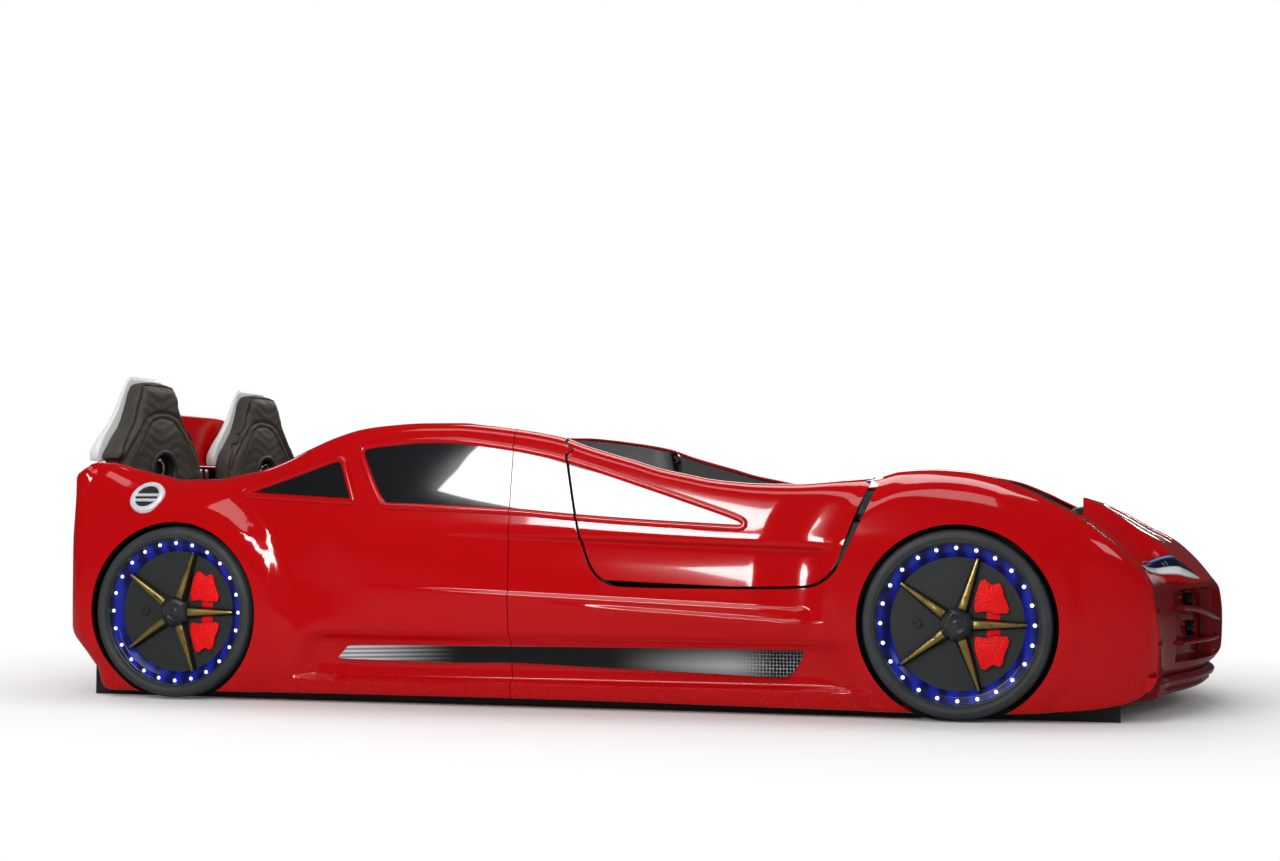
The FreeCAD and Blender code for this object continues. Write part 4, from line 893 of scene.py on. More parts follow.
mainLine = roundedOutline(mainWindow, 0.38, 4)
quarterLine = roundedOutline(quarterWindow, 0.25, 4)
mainParts = splitByDoor(makePane("paneMain", mainLine), "pane")
quarterPane = makePane("paneQuarter", quarterLine)
joinPieces(mainParts[0], [quarterPane])
trimParts = splitByDoor(makeTrim("trimMain", mainLine), "trim")
joinPieces(trimParts[0], [makeTrim("trimQuarter", quarterLine)])
for part, node, body in ((mainParts[0], "glass_rear_", "bed"), (mainParts[1], "glass_mid_", "bed"),
                         (mainParts[2], "glass_door_", None)):
    twin = copyPiece(part, part.name[:-2] + "_l", mirror=True)
    for side, piece in (("r", part), ("l", twin)):
        dress(piece, finishes["blackGloss"], body or sides[side][0], (node + side,), 30)
for part, body in zip(trimParts, ("bed", "bed", None)):
    twin = copyPiece(part, part.name[:-2] + "_l", mirror=True)
    for side, piece in (("r", part), ("l", twin)):
        dress(piece, finishes["redGloss"], body or sides[side][0], (), 40)
print("windows done")

# ---------------------------------------------------------------- door seal
sealSetup = {"lipInside": 0.004, "frameOut": 0.020, "gap": 0.012, "deep": 0.4705, "lipBack": 0.4925, "front": 0.4985}


def makeSeal():
    s = sealSetup
    wide = doorOutline(s["frameOut"], s["frameOut"], s["frameOut"])
    hole = doorOutline(s["gap"] + 0.0005, s["gap"] + 0.0005, s["gap"] + 0.0005)
    inner = doorOutline(-s["lipInside"], -s["lipInside"], -s["lipInside"])
    block = prismPiece("doorSeal_r", wide, -s["front"], -s["deep"])
    cutWith(block, prismPiece("sealHole", inner, -0.60, -0.40))
    cutWith(block, prismPiece("sealStep", hole, -s["lipBack"], -0.40))
    # nothing above the rail, and nothing near the hinge
    rail = [(x, z - 0.012) for x, z in railPoints if -0.2 < x < 0.62]
    cutWith(block, prismPiece("sealRail", rail + [(0.62, 0.9), (-0.2, 0.9)], -0.60, -0.40))
    cutWith(block, prismPiece("sealFront", [(0.455, 0.0), (0.7, 0.0), (0.7, 0.9), (0.455, 0.9)], -0.60, -0.40))
    return bevelEdges(block, 0.0012, 2)


seal = makeSeal()
for side, piece in (("r", seal), ("l", copyPiece(seal, "doorSeal_l", mirror=True))):
    dress(piece, finishes["rubber"], "bed", (), 35)
print("door seals done")

# ---------------------------------------------------------------- nose
noseSetup = {
    "rearX": 0.9187,
    "frontX": 1.193,
    "half": 0.4515,
    "thick": 0.004,
    "grilleLow": 0.106,
    "grilleHigh": 0.238,
    "grilleHalf": 0.338,
    "grilleDeep": 0.030,
}
nosePlan = [(0.0, 1.193), (0.02, 1.1925), (0.11, 1.180), (0.23, 1.150), (0.33, 1.110), (0.41, 1.080), (0.4515, 1.0605)]
hoodCentre = [  # share along the profile, x, z
    (0.0, 0.9187, 0.4205), (0.08, 0.957, 0.4085), (0.18, 0.995, 0.391), (0.32, 1.058, 0.355), (0.42, 1.098, 0.334),
    (0.52, 1.136, 0.301), (0.62, 1.172, 0.257), (0.67, 1.188, 0.232), (0.75, 1.193, 0.182), (0.89, 1.190, 0.116),
    (0.96, 1.179, 0.095), (1.0, 1.164, 0.081)]
hoodEdge = [
    (0.0, 0.9187, 0.3865), (0.08, 0.942, 0.3715), (0.18, 0.966, 0.3535), (0.32, 1.000, 0.3225), (0.42, 1.020, 0.2995),
    (0.52, 1.036, 0.274), (0.62, 1.0465, 0.243), (0.67, 1.0500, 0.223), (0.75, 1.0560, 0.182), (0.89, 1.0590, 0.116),
    (0.96, 1.0590, 0.095), (1.0, 1.0570, 0.081)]


def nosePoint(t, y):
    s = noseSetup
    a = np.abs(y)
    cx = curveAt([(p[0], p[1]) for p in hoodCentre], t)
    cz = curveAt([(p[0], p[2]) for p in hoodCentre], t)
    ex = curveAt([(p[0], p[1]) for p in hoodEdge], t)
    ez = curveAt([(p[0], p[2]) for p in hoodEdge], t)
    share = (curveAt(nosePlan, a) - s["rearX"]) / (s["frontX"] - s["rearX"])
    x1 = s["rearX"] + (cx - s["rearX"]) * share
    upper = 1 - smoothStep(0.50, 0.66, t)
    steep = smoothStep(0.268 + 0.02 * t, 0.300 + 0.05 * t, a)
    wide = smoothStep(0.27, 0.4515, a)
    w = (0.62 * steep + 0.38 * wide) * upper + (a / 0.4515) ** 4 * (1 - upper)
    w = np.clip(w, 0, 1)
    # low wide swage along the middle of the hood
    swage = 0.006 * smoothStep(0.075, 0.115, a) * (1 - smoothStep(0.19, 0.245, a)) * smoothStep(0.02, 0.16, t) \
        * (1 - smoothStep(0.42, 0.60, t))
    x = x1 * (1 - w) + ex * w
    z = cz * (1 - w) + ez * w - swage * 0.8
    return x, z


def noseGrid(extra=0.0):
    s = noseSetup
    ts = np.concatenate([np.linspace(0, 0.6, 34), np.linspace(0.6, 1.0, 44)[1:]])
    ys = np.linspace(-s["half"], s["half"], 141)
    t, y = np.meshgrid(ts, ys, indexing="ij")
    x, z = nosePoint(t, y)
    inside = smoothStep(s["grilleLow"] - 0.004, s["grilleLow"] + 0.003, z) \
        * (1 - smoothStep(s["grilleHigh"] - 0.003, s["grilleHigh"] + 0.004, z)) \
        * (1 - smoothStep(s["grilleHalf"] - 0.005, s["grilleHalf"] + 0.004, np.abs(y))) * (t > 0.5) \
        * smoothStep(0.046, 0.056, np.abs(y))
    x = x - s["grilleDeep"] * inside
    return np.stack([x, y, z], axis=2)


nose = gridPiece("noseShell", noseGrid())
if nose.data.polygons[40].normal.z < 0:
    nose.data.flip_normals()
applyModifier(nose, "SOLIDIFY", thickness=noseSetup["thick"], offset=-1.0)
dress(nose, finishes["redGloss"], "bed", ("bumper",), 40)
# faces low on the front take the darker red: painted shade where the lower front lies in shadow
nose.data.materials.append(finishes["darkRed"])
for face in nose.data.polygons:
    if face.center.z < 0.252 + 0.10 * max(0.0, abs(face.center.y) - 0.24):
        face.material_index = 1


def loftPiece(name, rings, closed=True, caps=True):
    # closed rings of points, joined one to the next
    rows = [list(ring) + ([ring[0]] if closed else []) for ring in rings]
    piece = gridPiece(name, np.array(rows, dtype=float))
    tidyMesh(piece, 0.00001, outward=False)
    if caps:
        choose(piece)
        bpy.ops.object.mode_set(mode="EDIT")
        bpy.ops.mesh.select_all(action="DESELECT")
        bpy.ops.mesh.select_mode(type="EDGE")
        bpy.ops.mesh.select_non_manifold()
        bpy.ops.mesh.fill_holes(sides=0)
        bpy.ops.mesh.select_mode(type="VERT")
        bpy.ops.object.mode_set(mode="OBJECT")
    return tidyMesh(piece, 0.00001)


def noseBar(name, heightAt, thick, inset, deep, half):
    rings = []
    for y in np.linspace(-half, half, 61):
        x = float(curveAt(nosePlan, abs(y))) - inset
        z = heightAt(abs(y))
        h = thick / 2
        section = [(0.0, 0.0), (-0.0015, h * 0.62), (-0.006, h), (-deep, h * 0.9), (-deep, -h * 0.9), (-0.006, -h),
                   (-0.0015, -h * 0.62)]
        rings.append([(x + a, y, z + b) for a, b in section])
    return loftPiece(name, rings)


upperBar = noseBar("grilleBars", lambda a: 0.171 + 0.036 * float(smoothStep(0.02, 0.34, a)), 0.0125, 0.002, 0.028, 0.3325)
lowerBar = noseBar("lowerBar", lambda a: 0.136 + 0.004 * float(smoothStep(0.0, 0.34, a)), 0.010, 0.003, 0.027, 0.3325)


def barPost(y, low, high):
    x = float(curveAt(nosePlan, abs(y))) - 0.008
    rings = []
    for z in np.linspace(low, high, 7):
        swell = 1.0 + 0.35 * abs(2 * (z - low) / (high - low) - 1) ** 2
        rings.append([(x + a, y + b * swell, z) for a, b in
                      [(0.0, 0.0025), (-0.003, 0.005), (-0.021, 0.006), (-0.021, -0.006), (-0.003, -0.005), (0.0, -0.0025)]])
    return loftPiece("barPost", rings)


posts = [barPost(sign * y, 0.108, 0.236) for sign in (-1, 1) for y in (0.14,)]
joinPieces(upperBar, [lowerBar] + posts)
# the grille bars and posts take the darker red as painted shade
dress(upperBar, finishes["darkRed"], "bed", ("grille",), 40)


def fogLamp(name, y, z, radius):
    x = float(curveAt(nosePlan, abs(y))) - 0.034
    clearSelection()
    bpy.ops.mesh.primitive_cylinder_add(vertices=40, radius=radius, depth=0.018, location=(x, y, z),
                                        rotation=(0, math.radians(90), 0))
    piece = bpy.context.active_object
    piece.name = name
    piece.data.name = name
    bpy.ops.object.transform_apply(location=True, rotation=True, scale=True)
    bpy.ops.object.mode_set(mode="EDIT")
    bpy.ops.mesh.select_all(action="DESELECT")
    bpy.ops.object.mode_set(mode="OBJECT")
    for face in piece.data.polygons:
        face.select = face.normal.x > 0.9
    bpy.ops.object.mode_set(mode="EDIT")
    bpy.ops.mesh.select_mode(type="FACE")
    bpy.ops.mesh.inset(thickness=radius * 0.16)
    bpy.ops.mesh.extrude_region_move(TRANSFORM_OT_translate={"value": (-0.006, 0, 0)})
    bpy.ops.mesh.inset(thickness=radius * 0.30)
    bpy.ops.mesh.extrude_region_move(TRANSFORM_OT_translate={"value": (0.004, 0, 0)})
    bpy.ops.mesh.inset(thickness=radius * 0.25)
    bpy.ops.transform.translate(value=(0.002, 0, 0))
    bpy.ops.mesh.select_mode(type="VERT")
    bpy.ops.object.mode_set(mode="OBJECT")
    return bevelEdges(piece, 0.0006, 2)


fogLamps = [fogLamp("fogLamps", -0.225, 0.2175, 0.0155), fogLamp("fog2", -0.222, 0.163, 0.0155),
            fogLamp("fog3", 0.225, 0.2175, 0.0155), fogLamp("fog4", 0.222, 0.163, 0.0155)]
joinPieces(fogLamps[0], fogLamps[1:])
dress(fogLamps[0], finishes["blackGloss"], "bed", (), 35)

# lower lip in two steps
lipRings = []
for y in np.linspace(-0.4512, 0.4512, 81):
    front = float(curveAt(nosePlan, abs(y)))
    ease = 1 - 0.75 * float(smoothStep(0.36, 0.4512, abs(y)))
    section = [(-0.031, 0.0798), (-0.020, 0.0740), (-0.0165, 0.0690), (-0.0195, 0.0610), (-0.0290, 0.0565),
               (-0.0275, 0.0500), (-0.0345, 0.0440), (-0.074, 0.0320), (-0.090, 0.0320), (-0.090, 0.0795)]
    lipRings.append([(front + a * (ease if a > -0.05 else 1.0), y, b) for a, b in section])
lip = loftPiece("noseLip", lipRings)
# the lip takes the darker red as painted shade
dress(lip, finishes["darkRed"], "bed", ("lower_lip",), 40)

# headlamps: an eye-shaped lens on the slope of the nose
lampSetupHead = {"inner": 0.185, "outer": 0.412, "proud": 0.0022, "thick": 0.003}


def headlampGrid(sign, rise):
    s = lampSetupHead
    rows = []
    us = np.linspace(0, 1, 41)
    vs = np.linspace(0, 1, 15)
    for v in vs:
        row = []
        for u in us:
            a = s["outer"] + (s["inner"] - s["outer"]) * u
            middle = 0.455 + 0.155 * u ** 1.1
            span = 0.115 * math.sin(math.pi * min(1.0, max(0.0, 0.02 + 0.96 * u))) ** 0.7 * (1.1 - 0.45 * u)
            t = middle + (v - 0.42) * span
            x, z = nosePoint(np.array(t), np.array(sign * a))
            x2, z2 = nosePoint(np.array(t + 0.01), np.array(sign * a))
            x3, z3 = nosePoint(np.array(t), np.array(sign * (a - 0.004)))
            p = Vector((float(x), sign * a, float(z)))
            along = Vector((float(x2), sign * a, float(z2))) - p
            across = Vector((float(x3), sign * (a - 0.004), float(z3))) - p
            n = along.cross(across).normalized()
            if n.x + n.z < 0:
                n = -n
            crown = rise * (math.sin(math.pi * v) * math.sin(math.pi * u)) ** 0.5
            row.append((p + n * (s["proud"] * 0.4 + crown))[:])
        rows.append(row)
    return np.array(rows)


def makeHeadlampFinish():
    material, tree, shader = newMaterial("lampLens")
    uv = addNode(tree, "ShaderNodeUVMap", uv_map="UVMap")
    split = addNode(tree, "ShaderNodeSeparateXYZ")
    tree.links.new(uv.outputs[0], split.inputs[0])
    ramp = addNode(tree, "ShaderNodeValToRGB")
    tree.links.new(split.outputs["Y"], ramp.inputs[0])
    stops = [(0.0, fromByte(90, 10, 16)), (0.05, fromByte(70, 40, 60)), (0.10, fromByte(130, 158, 200)),
             (0.15, fromByte(96, 126, 190)), (0.22, fromByte(18, 22, 58)), (0.60, fromByte(10, 12, 32)),
             (0.66, fromByte(224, 230, 238)), (0.90, fromByte(252, 252, 253)), (1.0, fromByte(120, 20, 24))]
    ramp.color_ramp.elements[0].position, ramp.color_ramp.elements[0].color = stops[0]
    ramp.color_ramp.elements[1].position, ramp.color_ramp.elements[1].color = stops[-1]
    for position, colour in stops[1:-1]:
        ramp.color_ramp.elements.new(position).color = colour
    place = addNode(tree, "ShaderNodeTexCoord").outputs["Object"]
    flute = addNode(tree, "ShaderNodeTexWave", in_Scale=60.0, in_Distortion=0.4, bands_direction="Y")
    tree.links.new(place, flute.inputs["Vector"])
    tree.links.new(mixColour(tree, 0.16, ramp.outputs[0], flute.outputs[0], "MULTIPLY"), shader.inputs["Base Color"])
    relief = addNode(tree, "ShaderNodeBump", in_Strength=0.15, in_Distance=0.001)
    tree.links.new(flute.outputs["Fac"], relief.inputs["Height"])
    tree.links.new(relief.outputs[0], shader.inputs["Normal"])
    smear = rampOut(tree, noiseOut(tree, place, 30.0, 3.0), 0.4, 0.8)
    tree.links.new(mathNode(tree, "ADD", 0.06, mathNode(tree, "MULTIPLY", smear, 0.08)), shader.inputs["Roughness"])
    shader.inputs["Coat Weight"].default_value = 1.0
    shader.inputs["Coat Roughness"].default_value = 0.02
    return material


finishes["lampLens"] = makeHeadlampFinish()
for side, sign in (("r", -1), ("l", 1)):
    lens = gridPiece("headlampLens_" + side, headlampGrid(sign, 0.0045))
    tidyMesh(lens, 0.00001, outward=False)
    if sum(face.normal.x + face.normal.z for face in lens.data.polygons) < 0:
        lens.data.flip_normals()
    applyModifier(lens, "SOLIDIFY", thickness=lampSetupHead["thick"], offset=-1.0)
    dress(lens, finishes["lampLens"], "bed", ("headlamp_" + side,), 45)
print("nose done")
# ---------------------------------------------------------------- wheels
wheelSetup = {
    "rearAxle": -0.9315,
    "frontAxle": 0.6885,
    "height": 0.182,
    "face": -0.470,
    "beadCount": 24,
    "beadRing": 0.14375,
    "spokes": 5,
}
tyreProfile = [
    (0.1530, -0.0300), (0.1530, -0.0668), (0.1542, -0.0705), (0.1560, -0.0722), (0.1572, -0.0716), (0.1584, -0.0724),
    (0.1612, -0.0742), (0.1650, -0.0748), (0.1690, -0.0738), (0.1712, -0.0722), (0.1722, -0.0724), (0.1733, -0.0716),
    (0.1762, -0.0672), (0.1782, -0.0600), (0.1790, -0.0500), (0.1788, -0.0400), (0.1775, -0.0335), (0.1745, -0.0292),
    (0.1700, -0.0282), (0.1600, -0.0282)]
rimProfile = [
    (0.0006, -0.0006), (0.0006, -0.0460), (0.0300, -0.0460), (0.1040, -0.0452), (0.1240, -0.0456), (0.1275, -0.0456),
    (0.1340, -0.0460), (0.1366, -0.0470), (0.1378, -0.0480), (0.1502, -0.0502), (0.1506, -0.0640), (0.1512, -0.0662),
    (0.1528, -0.0668), (0.1529, -0.0290), (0.0600, -0.0284), (0.0600, -0.0006)]
ringProfile = [
    (0.1262, -0.0452), (0.1262, -0.0462), (0.1275, -0.0478), (0.1360, -0.0556), (0.1372, -0.0566), (0.1388, -0.0572),
    (0.1478, -0.0574), (0.1494, -0.0580), (0.1504, -0.0592), (0.1504, -0.0504), (0.1380, -0.0490)]


def wheelBeads(center):
    # one small dome, copied round the ring
    clearSelection()
    bpy.ops.mesh.primitive_uv_sphere_add(segments=12, ring_count=6, radius=0.0040,
                                         location=(center[0] + wheelSetup["beadRing"], center[1] - 0.0576, center[2]))
    first = bpy.context.active_object
    bpy.ops.object.transform_apply(location=True)
    first.data.transform(Matrix.Translation((0, center[1] - 0.0574, 0)) @ Matrix.Diagonal((1, 0.55, 1, 1))
                         @ Matrix.Translation((0, -(center[1] - 0.0574), 0)))
    others = []
    about = Vector(center)
    for k in range(1, wheelSetup["beadCount"]):
        bead = copyPiece(first, "bead")
        turn = Matrix.Rotation(2 * math.pi * k / wheelSetup["beadCount"], 4, "Y")
        bead.data.transform(Matrix.Translation(about) @ turn @ Matrix.Translation(-about))
        others.append(bead)
    return joinPieces(first, others)


def wheelStar(center):
    # folded spokes: gold ridge on a dark foot, narrow at the tip; the foot's dark gold-brown is painted shade on the
    # spokes' sides
    about = Vector(center)

    def fan(rows):
        first = loftPiece("spoke", rows)
        others = []
        for k in range(1, wheelSetup["spokes"]):
            other = copyPiece(first, "spoke")
            turn = Matrix.Rotation(2 * math.pi * k / wheelSetup["spokes"], 4, "Y")
            other.data.transform(Matrix.Translation(about) @ turn @ Matrix.Translation(-about))
            others.append(other)
        return bevelEdges(joinPieces(first, others), 0.0005, 2, 30)

    gold, foot = [], []
    for share in np.linspace(0, 1, 9):
        r = 0.0315 + (0.1300 - 0.0315) * share
        half = 0.0078 + (0.0026 - 0.0078) * share
        top = -0.0660 + 0.0062 * share
        gold.append([(center[0] + r, center[1] + y, center[2] + z) for z, y in [
            (-half, top + 0.0090), (-half, top + 0.0022), (-half * 0.35, top), (half * 0.62, top + 0.0004),
            (half, top + 0.0034), (half, top + 0.0090)]])
    for share in np.linspace(0, 1, 9):
        r = 0.0200 + (0.1285 - 0.0200) * share
        wide = 0.0142 + (0.0052 - 0.0142) * share
        half = 0.0082 + (0.0029 - 0.0082) * share
        top = -0.0628 + 0.0058 * share
        foot.append([(center[0] + r, center[1] + y, center[2] + z) for z, y in [
            (-wide, -0.0448), (-wide, -0.0478), (-half, top), (half, top), (wide, -0.0478), (wide, -0.0448)]])
    return fan(gold), fan(foot)


def wheelHub(center):
    # dark faceted nut with five corners between the spokes
    rings = []
    for radius, high in ((0.0335, 0.0448), (0.0335, 0.0560), (0.0300, 0.0640), (0.0225, 0.0684), (0.0160, 0.0684),
                         (0.0140, 0.0664), (0.0080, 0.0660), (0.0062, 0.0672), (0.0006, 0.0674)):
        ring = []
        for k in range(10):
            turn = math.radians(36 * k + 18)
            reach = radius * (1.0 if k % 2 == 0 else 0.86) if radius > 0.018 else radius
            turn += math.radians(18)
            ring.append((center[0] + reach * math.cos(turn), center[1] - high, center[2] + reach * math.sin(turn)))
        rings.append(ring)
    return bevelEdges(loftPiece("hub", rings), 0.0006, 2, 18)


caliperLobe = [(34, 22), (32, 34), (33, 47), (39, 69), (44, 82), (52, 85), (60, 78), (67, 74), (77, 79), (83, 74),
               (86, 63), (87, 55), (93, 42), (97, 30), (93, 21), (82, 22), (71, 20), (60, 24), (52, 25)]


def wheelCaliper(center):
    # cast caliper: two lobes with uneven edges and a raised, pitted face, tied by a bridge behind the spoke
    face = center[1] - 0.0448
    parts = []
    for flip in (1, -1):
        outline = [(center[0] + a / 1000, center[2] + flip * b / 1000) for a, b in caliperLobe][::flip]
        lobe = prismPiece("lobe", roundedOutline(outline, 0.30, 3), face - 0.0075, face)
        choose(lobe)
        for polygon in lobe.data.polygons:
            polygon.select = polygon.normal.y < -0.9
        bpy.ops.object.mode_set(mode="EDIT")
        bpy.ops.mesh.select_mode(type="FACE")
        bpy.ops.mesh.inset(thickness=0.0030)
        bpy.ops.transform.translate(value=(0, -0.0012, 0))
        bpy.ops.mesh.inset(thickness=0.0040)
        bpy.ops.transform.translate(value=(0, 0.0010, 0))
        bpy.ops.mesh.select_mode(type="VERT")
        bpy.ops.object.mode_set(mode="OBJECT")
        parts.append(lobe)
    bridge = prismPiece("bridge", [(center[0] + a, center[2] + b) for a, b in (
        (0.055, -0.030), (0.080, -0.030), (0.080, 0.030), (0.055, 0.030))], face - 0.0020, face)
    return bevelEdges(joinPieces(parts[0], parts[1:] + [bridge]), 0.0007, 2, 50)


def wheelPlug(center):
    return spunPiece("plug", [(0.0004, 0.0), (0.0004, -0.0020), (0.0046, -0.0020), (0.0052, -0.0044), (0.0078, -0.0044),
                              (0.0092, -0.0030), (0.0096, 0.0)],
                     (center[0] - 0.075, center[1] - 0.0455, center[2]), 32)


def makeWheel(prefix, axle):
    center = (axle, wheelSetup["face"], wheelSetup["height"])
    star, starFoot = wheelStar(center)
    pieces = {
        "tyre": (spunPiece(prefix + "Tyre_r", tyreProfile, center, 128), "rubber", "_cover_", "tyre_black", 60),
        "rim": (spunPiece(prefix + "Rim_r", rimProfile, center, 128), "rimPlastic", None, "tyre_black", 40),
        "ring": (spunPiece(prefix + "LightRing_r", ringProfile, center, 128), "lightRing", "_light_", "light_blue", 40),
        "beads": (wheelBeads(center), "lightBead", None, "light_blue", 80),
        "star": (star, "gold", "_star_", "gold", 24),
        # dark foot: painted shade on the spokes' sides
        "starFoot": (starFoot, "spokeShade", None, "black_plastic", 24),
        "hub": (wheelHub(center), "hubBlack", None, "black_plastic", 20),
        "caliper": (wheelCaliper(center), "caliperRed", "_caliper_", "caliper_red", 40),
    }
    joinPieces(pieces["rim"][0], [wheelPlug(center)])
    for key, (piece, finish, node, slot, angle) in pieces.items():
        piece.name = prefix + key[0].upper() + key[1:] + "_r"
        piece.data.name = piece.name
        twin = copyPiece(piece, piece.name[:-2] + "_l", mirror=True)
        for side, one in (("r", piece), ("l", twin)):
            name = {"wheelRear": "wheel_rear", "wheelFront": "wheel_front"}[prefix]
            dress(one, finishes[finish], "bed", (name + node + side,) if node else (), angle)


def makeLightFinishes():
    # the ring's dark-to-bright blue mottle and faint emission are painted glow: the beads' light falling on the ring
    material, tree, shader = newMaterial("lightRing")
    place = addNode(tree, "ShaderNodeTexCoord").outputs["Object"]
    cloud = noiseOut(tree, place, 55.0, 3.0)
    turn = addNode(tree, "ShaderNodeTexWave", in_Scale=9.0, in_Distortion=1.5, in_Detail=2.0)
    tree.links.new(place, turn.inputs["Vector"])
    share = mathNode(tree, "MULTIPLY", mathNode(tree, "ADD", cloud, turn.outputs["Fac"]), 0.5)
    colour = mixColour(tree, rampOut(tree, share, 0.2, 0.8), fromByte(8, 12, 66), fromByte(18, 34, 150))
    tree.links.new(colour, shader.inputs["Base Color"])
    # painted glow: the ring gives off a faint light of its own colour
    tree.links.new(colour, shader.inputs["Emission Color"])
    shader.inputs["Emission Strength"].default_value = 0.12
    tree.links.new(mathNode(tree, "ADD", 0.16, mathNode(tree, "MULTIPLY", cloud, 0.15)), shader.inputs["Roughness"])
    relief = addNode(tree, "ShaderNodeBump", in_Strength=0.2, in_Distance=0.0006)
    tree.links.new(noiseOut(tree, place, 420.0, 2.0), relief.inputs["Height"])
    tree.links.new(relief.outputs[0], shader.inputs["Normal"])
    finishes["lightRing"] = material
    material, tree, shader = newMaterial("lightBead")
    place = addNode(tree, "ShaderNodeTexCoord").outputs["Object"]
    cloud = noiseOut(tree, place, 300.0, 2.0)
    colour = mixColour(tree, cloud, fromByte(214, 220, 255), fromByte(250, 250, 255))
    tree.links.new(colour, shader.inputs["Base Color"])
    tree.links.new(colour, shader.inputs["Emission Color"])
    shader.inputs["Emission Strength"].default_value = 0.9
    tree.links.new(mathNode(tree, "ADD", 0.2, mathNode(tree, "MULTIPLY", cloud, 0.1)), shader.inputs["Roughness"])
    finishes["lightBead"] = material
    # dark gold-brown of the spokes' sides: painted shade
    finishes["spokeShade"] = groupMaterial("spokeShade", "grain", {
        "Colour": fromByte(24, 22, 14), "Worn Colour": fromByte(84, 74, 40), "Roughness": 0.34,
        "Grain Scale": 1400.0, "Wear": 0.3}, bump=0.06, distance=0.0003)
    finishes["hubBlack"] = groupMaterial("hubBlack", "grain", {
        "Colour": fromByte(30, 32, 35), "Worn Colour": fromByte(92, 96, 100), "Roughness": 0.28,
        "Grain Scale": 1400.0, "Wear": 0.35}, bump=0.08, distance=0.0003)


makeLightFinishes()
makeWheel("wheelRear", wheelSetup["rearAxle"])
makeWheel("wheelFront", wheelSetup["frontAxle"])
print("wheels done")

# ---------------------------------------------------------------- round cap on the rear wing
capSetup = {"x": -1.0050, "z": 0.4215, "radius": 0.0385, "high": 0.0050}


def outerFace(x, z):
    # outer face of the side, with the rounded top edge
    top = float(curveAt(railPoints, x))
    rollHigh = float(curveAt([(a, b) for a, b, c in rollPoints], x))
    rollIn = float(curveAt([(a, c) for a, b, c in rollPoints], x))
    rise = min(1.0, max(0.0, (z - (top - rollHigh)) / rollHigh))
    inset = float(shellInset(np.array(x), np.array(z), 1.0)) + rollIn * (1 - math.cos(math.asin(rise)))
    return -(shellSetup["halfWidth"] - inset)


def makeCap():
    s = capSetup
    step = 0.030
    here = Vector((s["x"], outerFace(s["x"], s["z"]), s["z"]))
    up = Vector((0, outerFace(s["x"], s["z"] + step) - outerFace(s["x"], s["z"] - step), 2 * step)).normalized()
    ahead = Vector((2 * step, outerFace(s["x"] + step, s["z"]) - outerFace(s["x"] - step, s["z"]), 0)).normalized()
    normal = up.cross(ahead).normalized()
    if normal.y > 0:
        normal = -normal
    low = -0.0055
    profile = [(0.0003, low), (0.0003, 0.0022), (0.0100, 0.0021), (0.0255, 0.0014), (0.0268, 0.0024), (0.0278, 0.0044),
               (0.0300, 0.0050), (0.0345, 0.0046), (0.0375, 0.0030), (0.0385, 0.0004), (0.0385, low)]
    piece = spunPiece("roundCap_r", [(r, -a) for r, a in profile], (0, 0, 0), 72)
    turn = Vector((0, -1, 0)).rotation_difference(normal).to_matrix().to_4x4()
    piece.data.transform(Matrix.Translation(here + normal * 0.0012) @ turn)
    return piece


def makeCapFinish():
    # dark centre crossed by a bright band
    material, tree, shader = newMaterial("capCentre")
    place = addNode(tree, "ShaderNodeTexCoord").outputs["Object"]
    split = addNode(tree, "ShaderNodeSeparateXYZ")
    tree.links.new(place, split.inputs[0])
    high = mathNode(tree, "ABSOLUTE", mathNode(tree, "SUBTRACT", split.outputs["Z"], capSetup["z"]))
    band = mathNode(tree, "MULTIPLY", rampOut(tree, high, 0.0088, 0.0078), rampOut(tree, high, 0.0020, 0.0030))
    speck = noiseOut(tree, place, 900.0, 2.0)
    colour = mixColour(tree, band, fromByte(46, 48, 50), fromByte(206, 208, 210))
    colour = mixColour(tree, mathNode(tree, "MULTIPLY", speck, 0.3), colour, fromByte(20, 20, 21))
    tree.links.new(colour, shader.inputs["Base Color"])
    tree.links.new(mathNode(tree, "ADD", 0.22, mathNode(tree, "MULTIPLY", speck, 0.15)), shader.inputs["Roughness"])
    relief = addNode(tree, "ShaderNodeBump", in_Strength=0.3, in_Distance=0.0005)
    tree.links.new(band, relief.inputs["Height"])
    tree.links.new(relief.outputs[0], shader.inputs["Normal"])
    finishes["capCentre"] = material
    finishes["capRim"] = groupMaterial("capRim", "grain", {
        "Colour": fromByte(232, 232, 234), "Worn Colour": fromByte(190, 190, 192), "Roughness": 0.22,
        "Grain Scale": 1500.0, "Wear": 0.3}, bump=0.02, distance=0.0002, Metallic=0.25)


makeCapFinish()
cap = makeCap()
capPlace = sum((v.co for v in cap.data.vertices), Vector()) / len(cap.data.vertices)
for side, piece in (("r", cap), ("l", copyPiece(cap, "roundCap_l", mirror=True))):
    dress(piece, finishes["capRim"], "bed", ("round_cap_" + side,), 40)
    piece.data.materials.append(finishes["capCentre"])
    middle = capPlace if side == "r" else Vector((capPlace.x, -capPlace.y, capPlace.z))
    for face in piece.data.polygons:
        if (face.center - middle).length < 0.0272:
            face.material_index = 1

# ---------------------------------------------------------------- sill strip with its printed fade
stripSetup = {"y": -0.5166, "thick": 0.0020, "edge": 0.0058}
stripLine = [(-0.570, 0.091), (-0.545, 0.119), (-0.195, 0.123), (0.188, 0.126), (0.397, 0.128), (0.391, 0.106),
             (0.376, 0.083), (0.356, 0.073), (0.188, 0.079), (-0.195, 0.091), (-0.325, 0.088)]


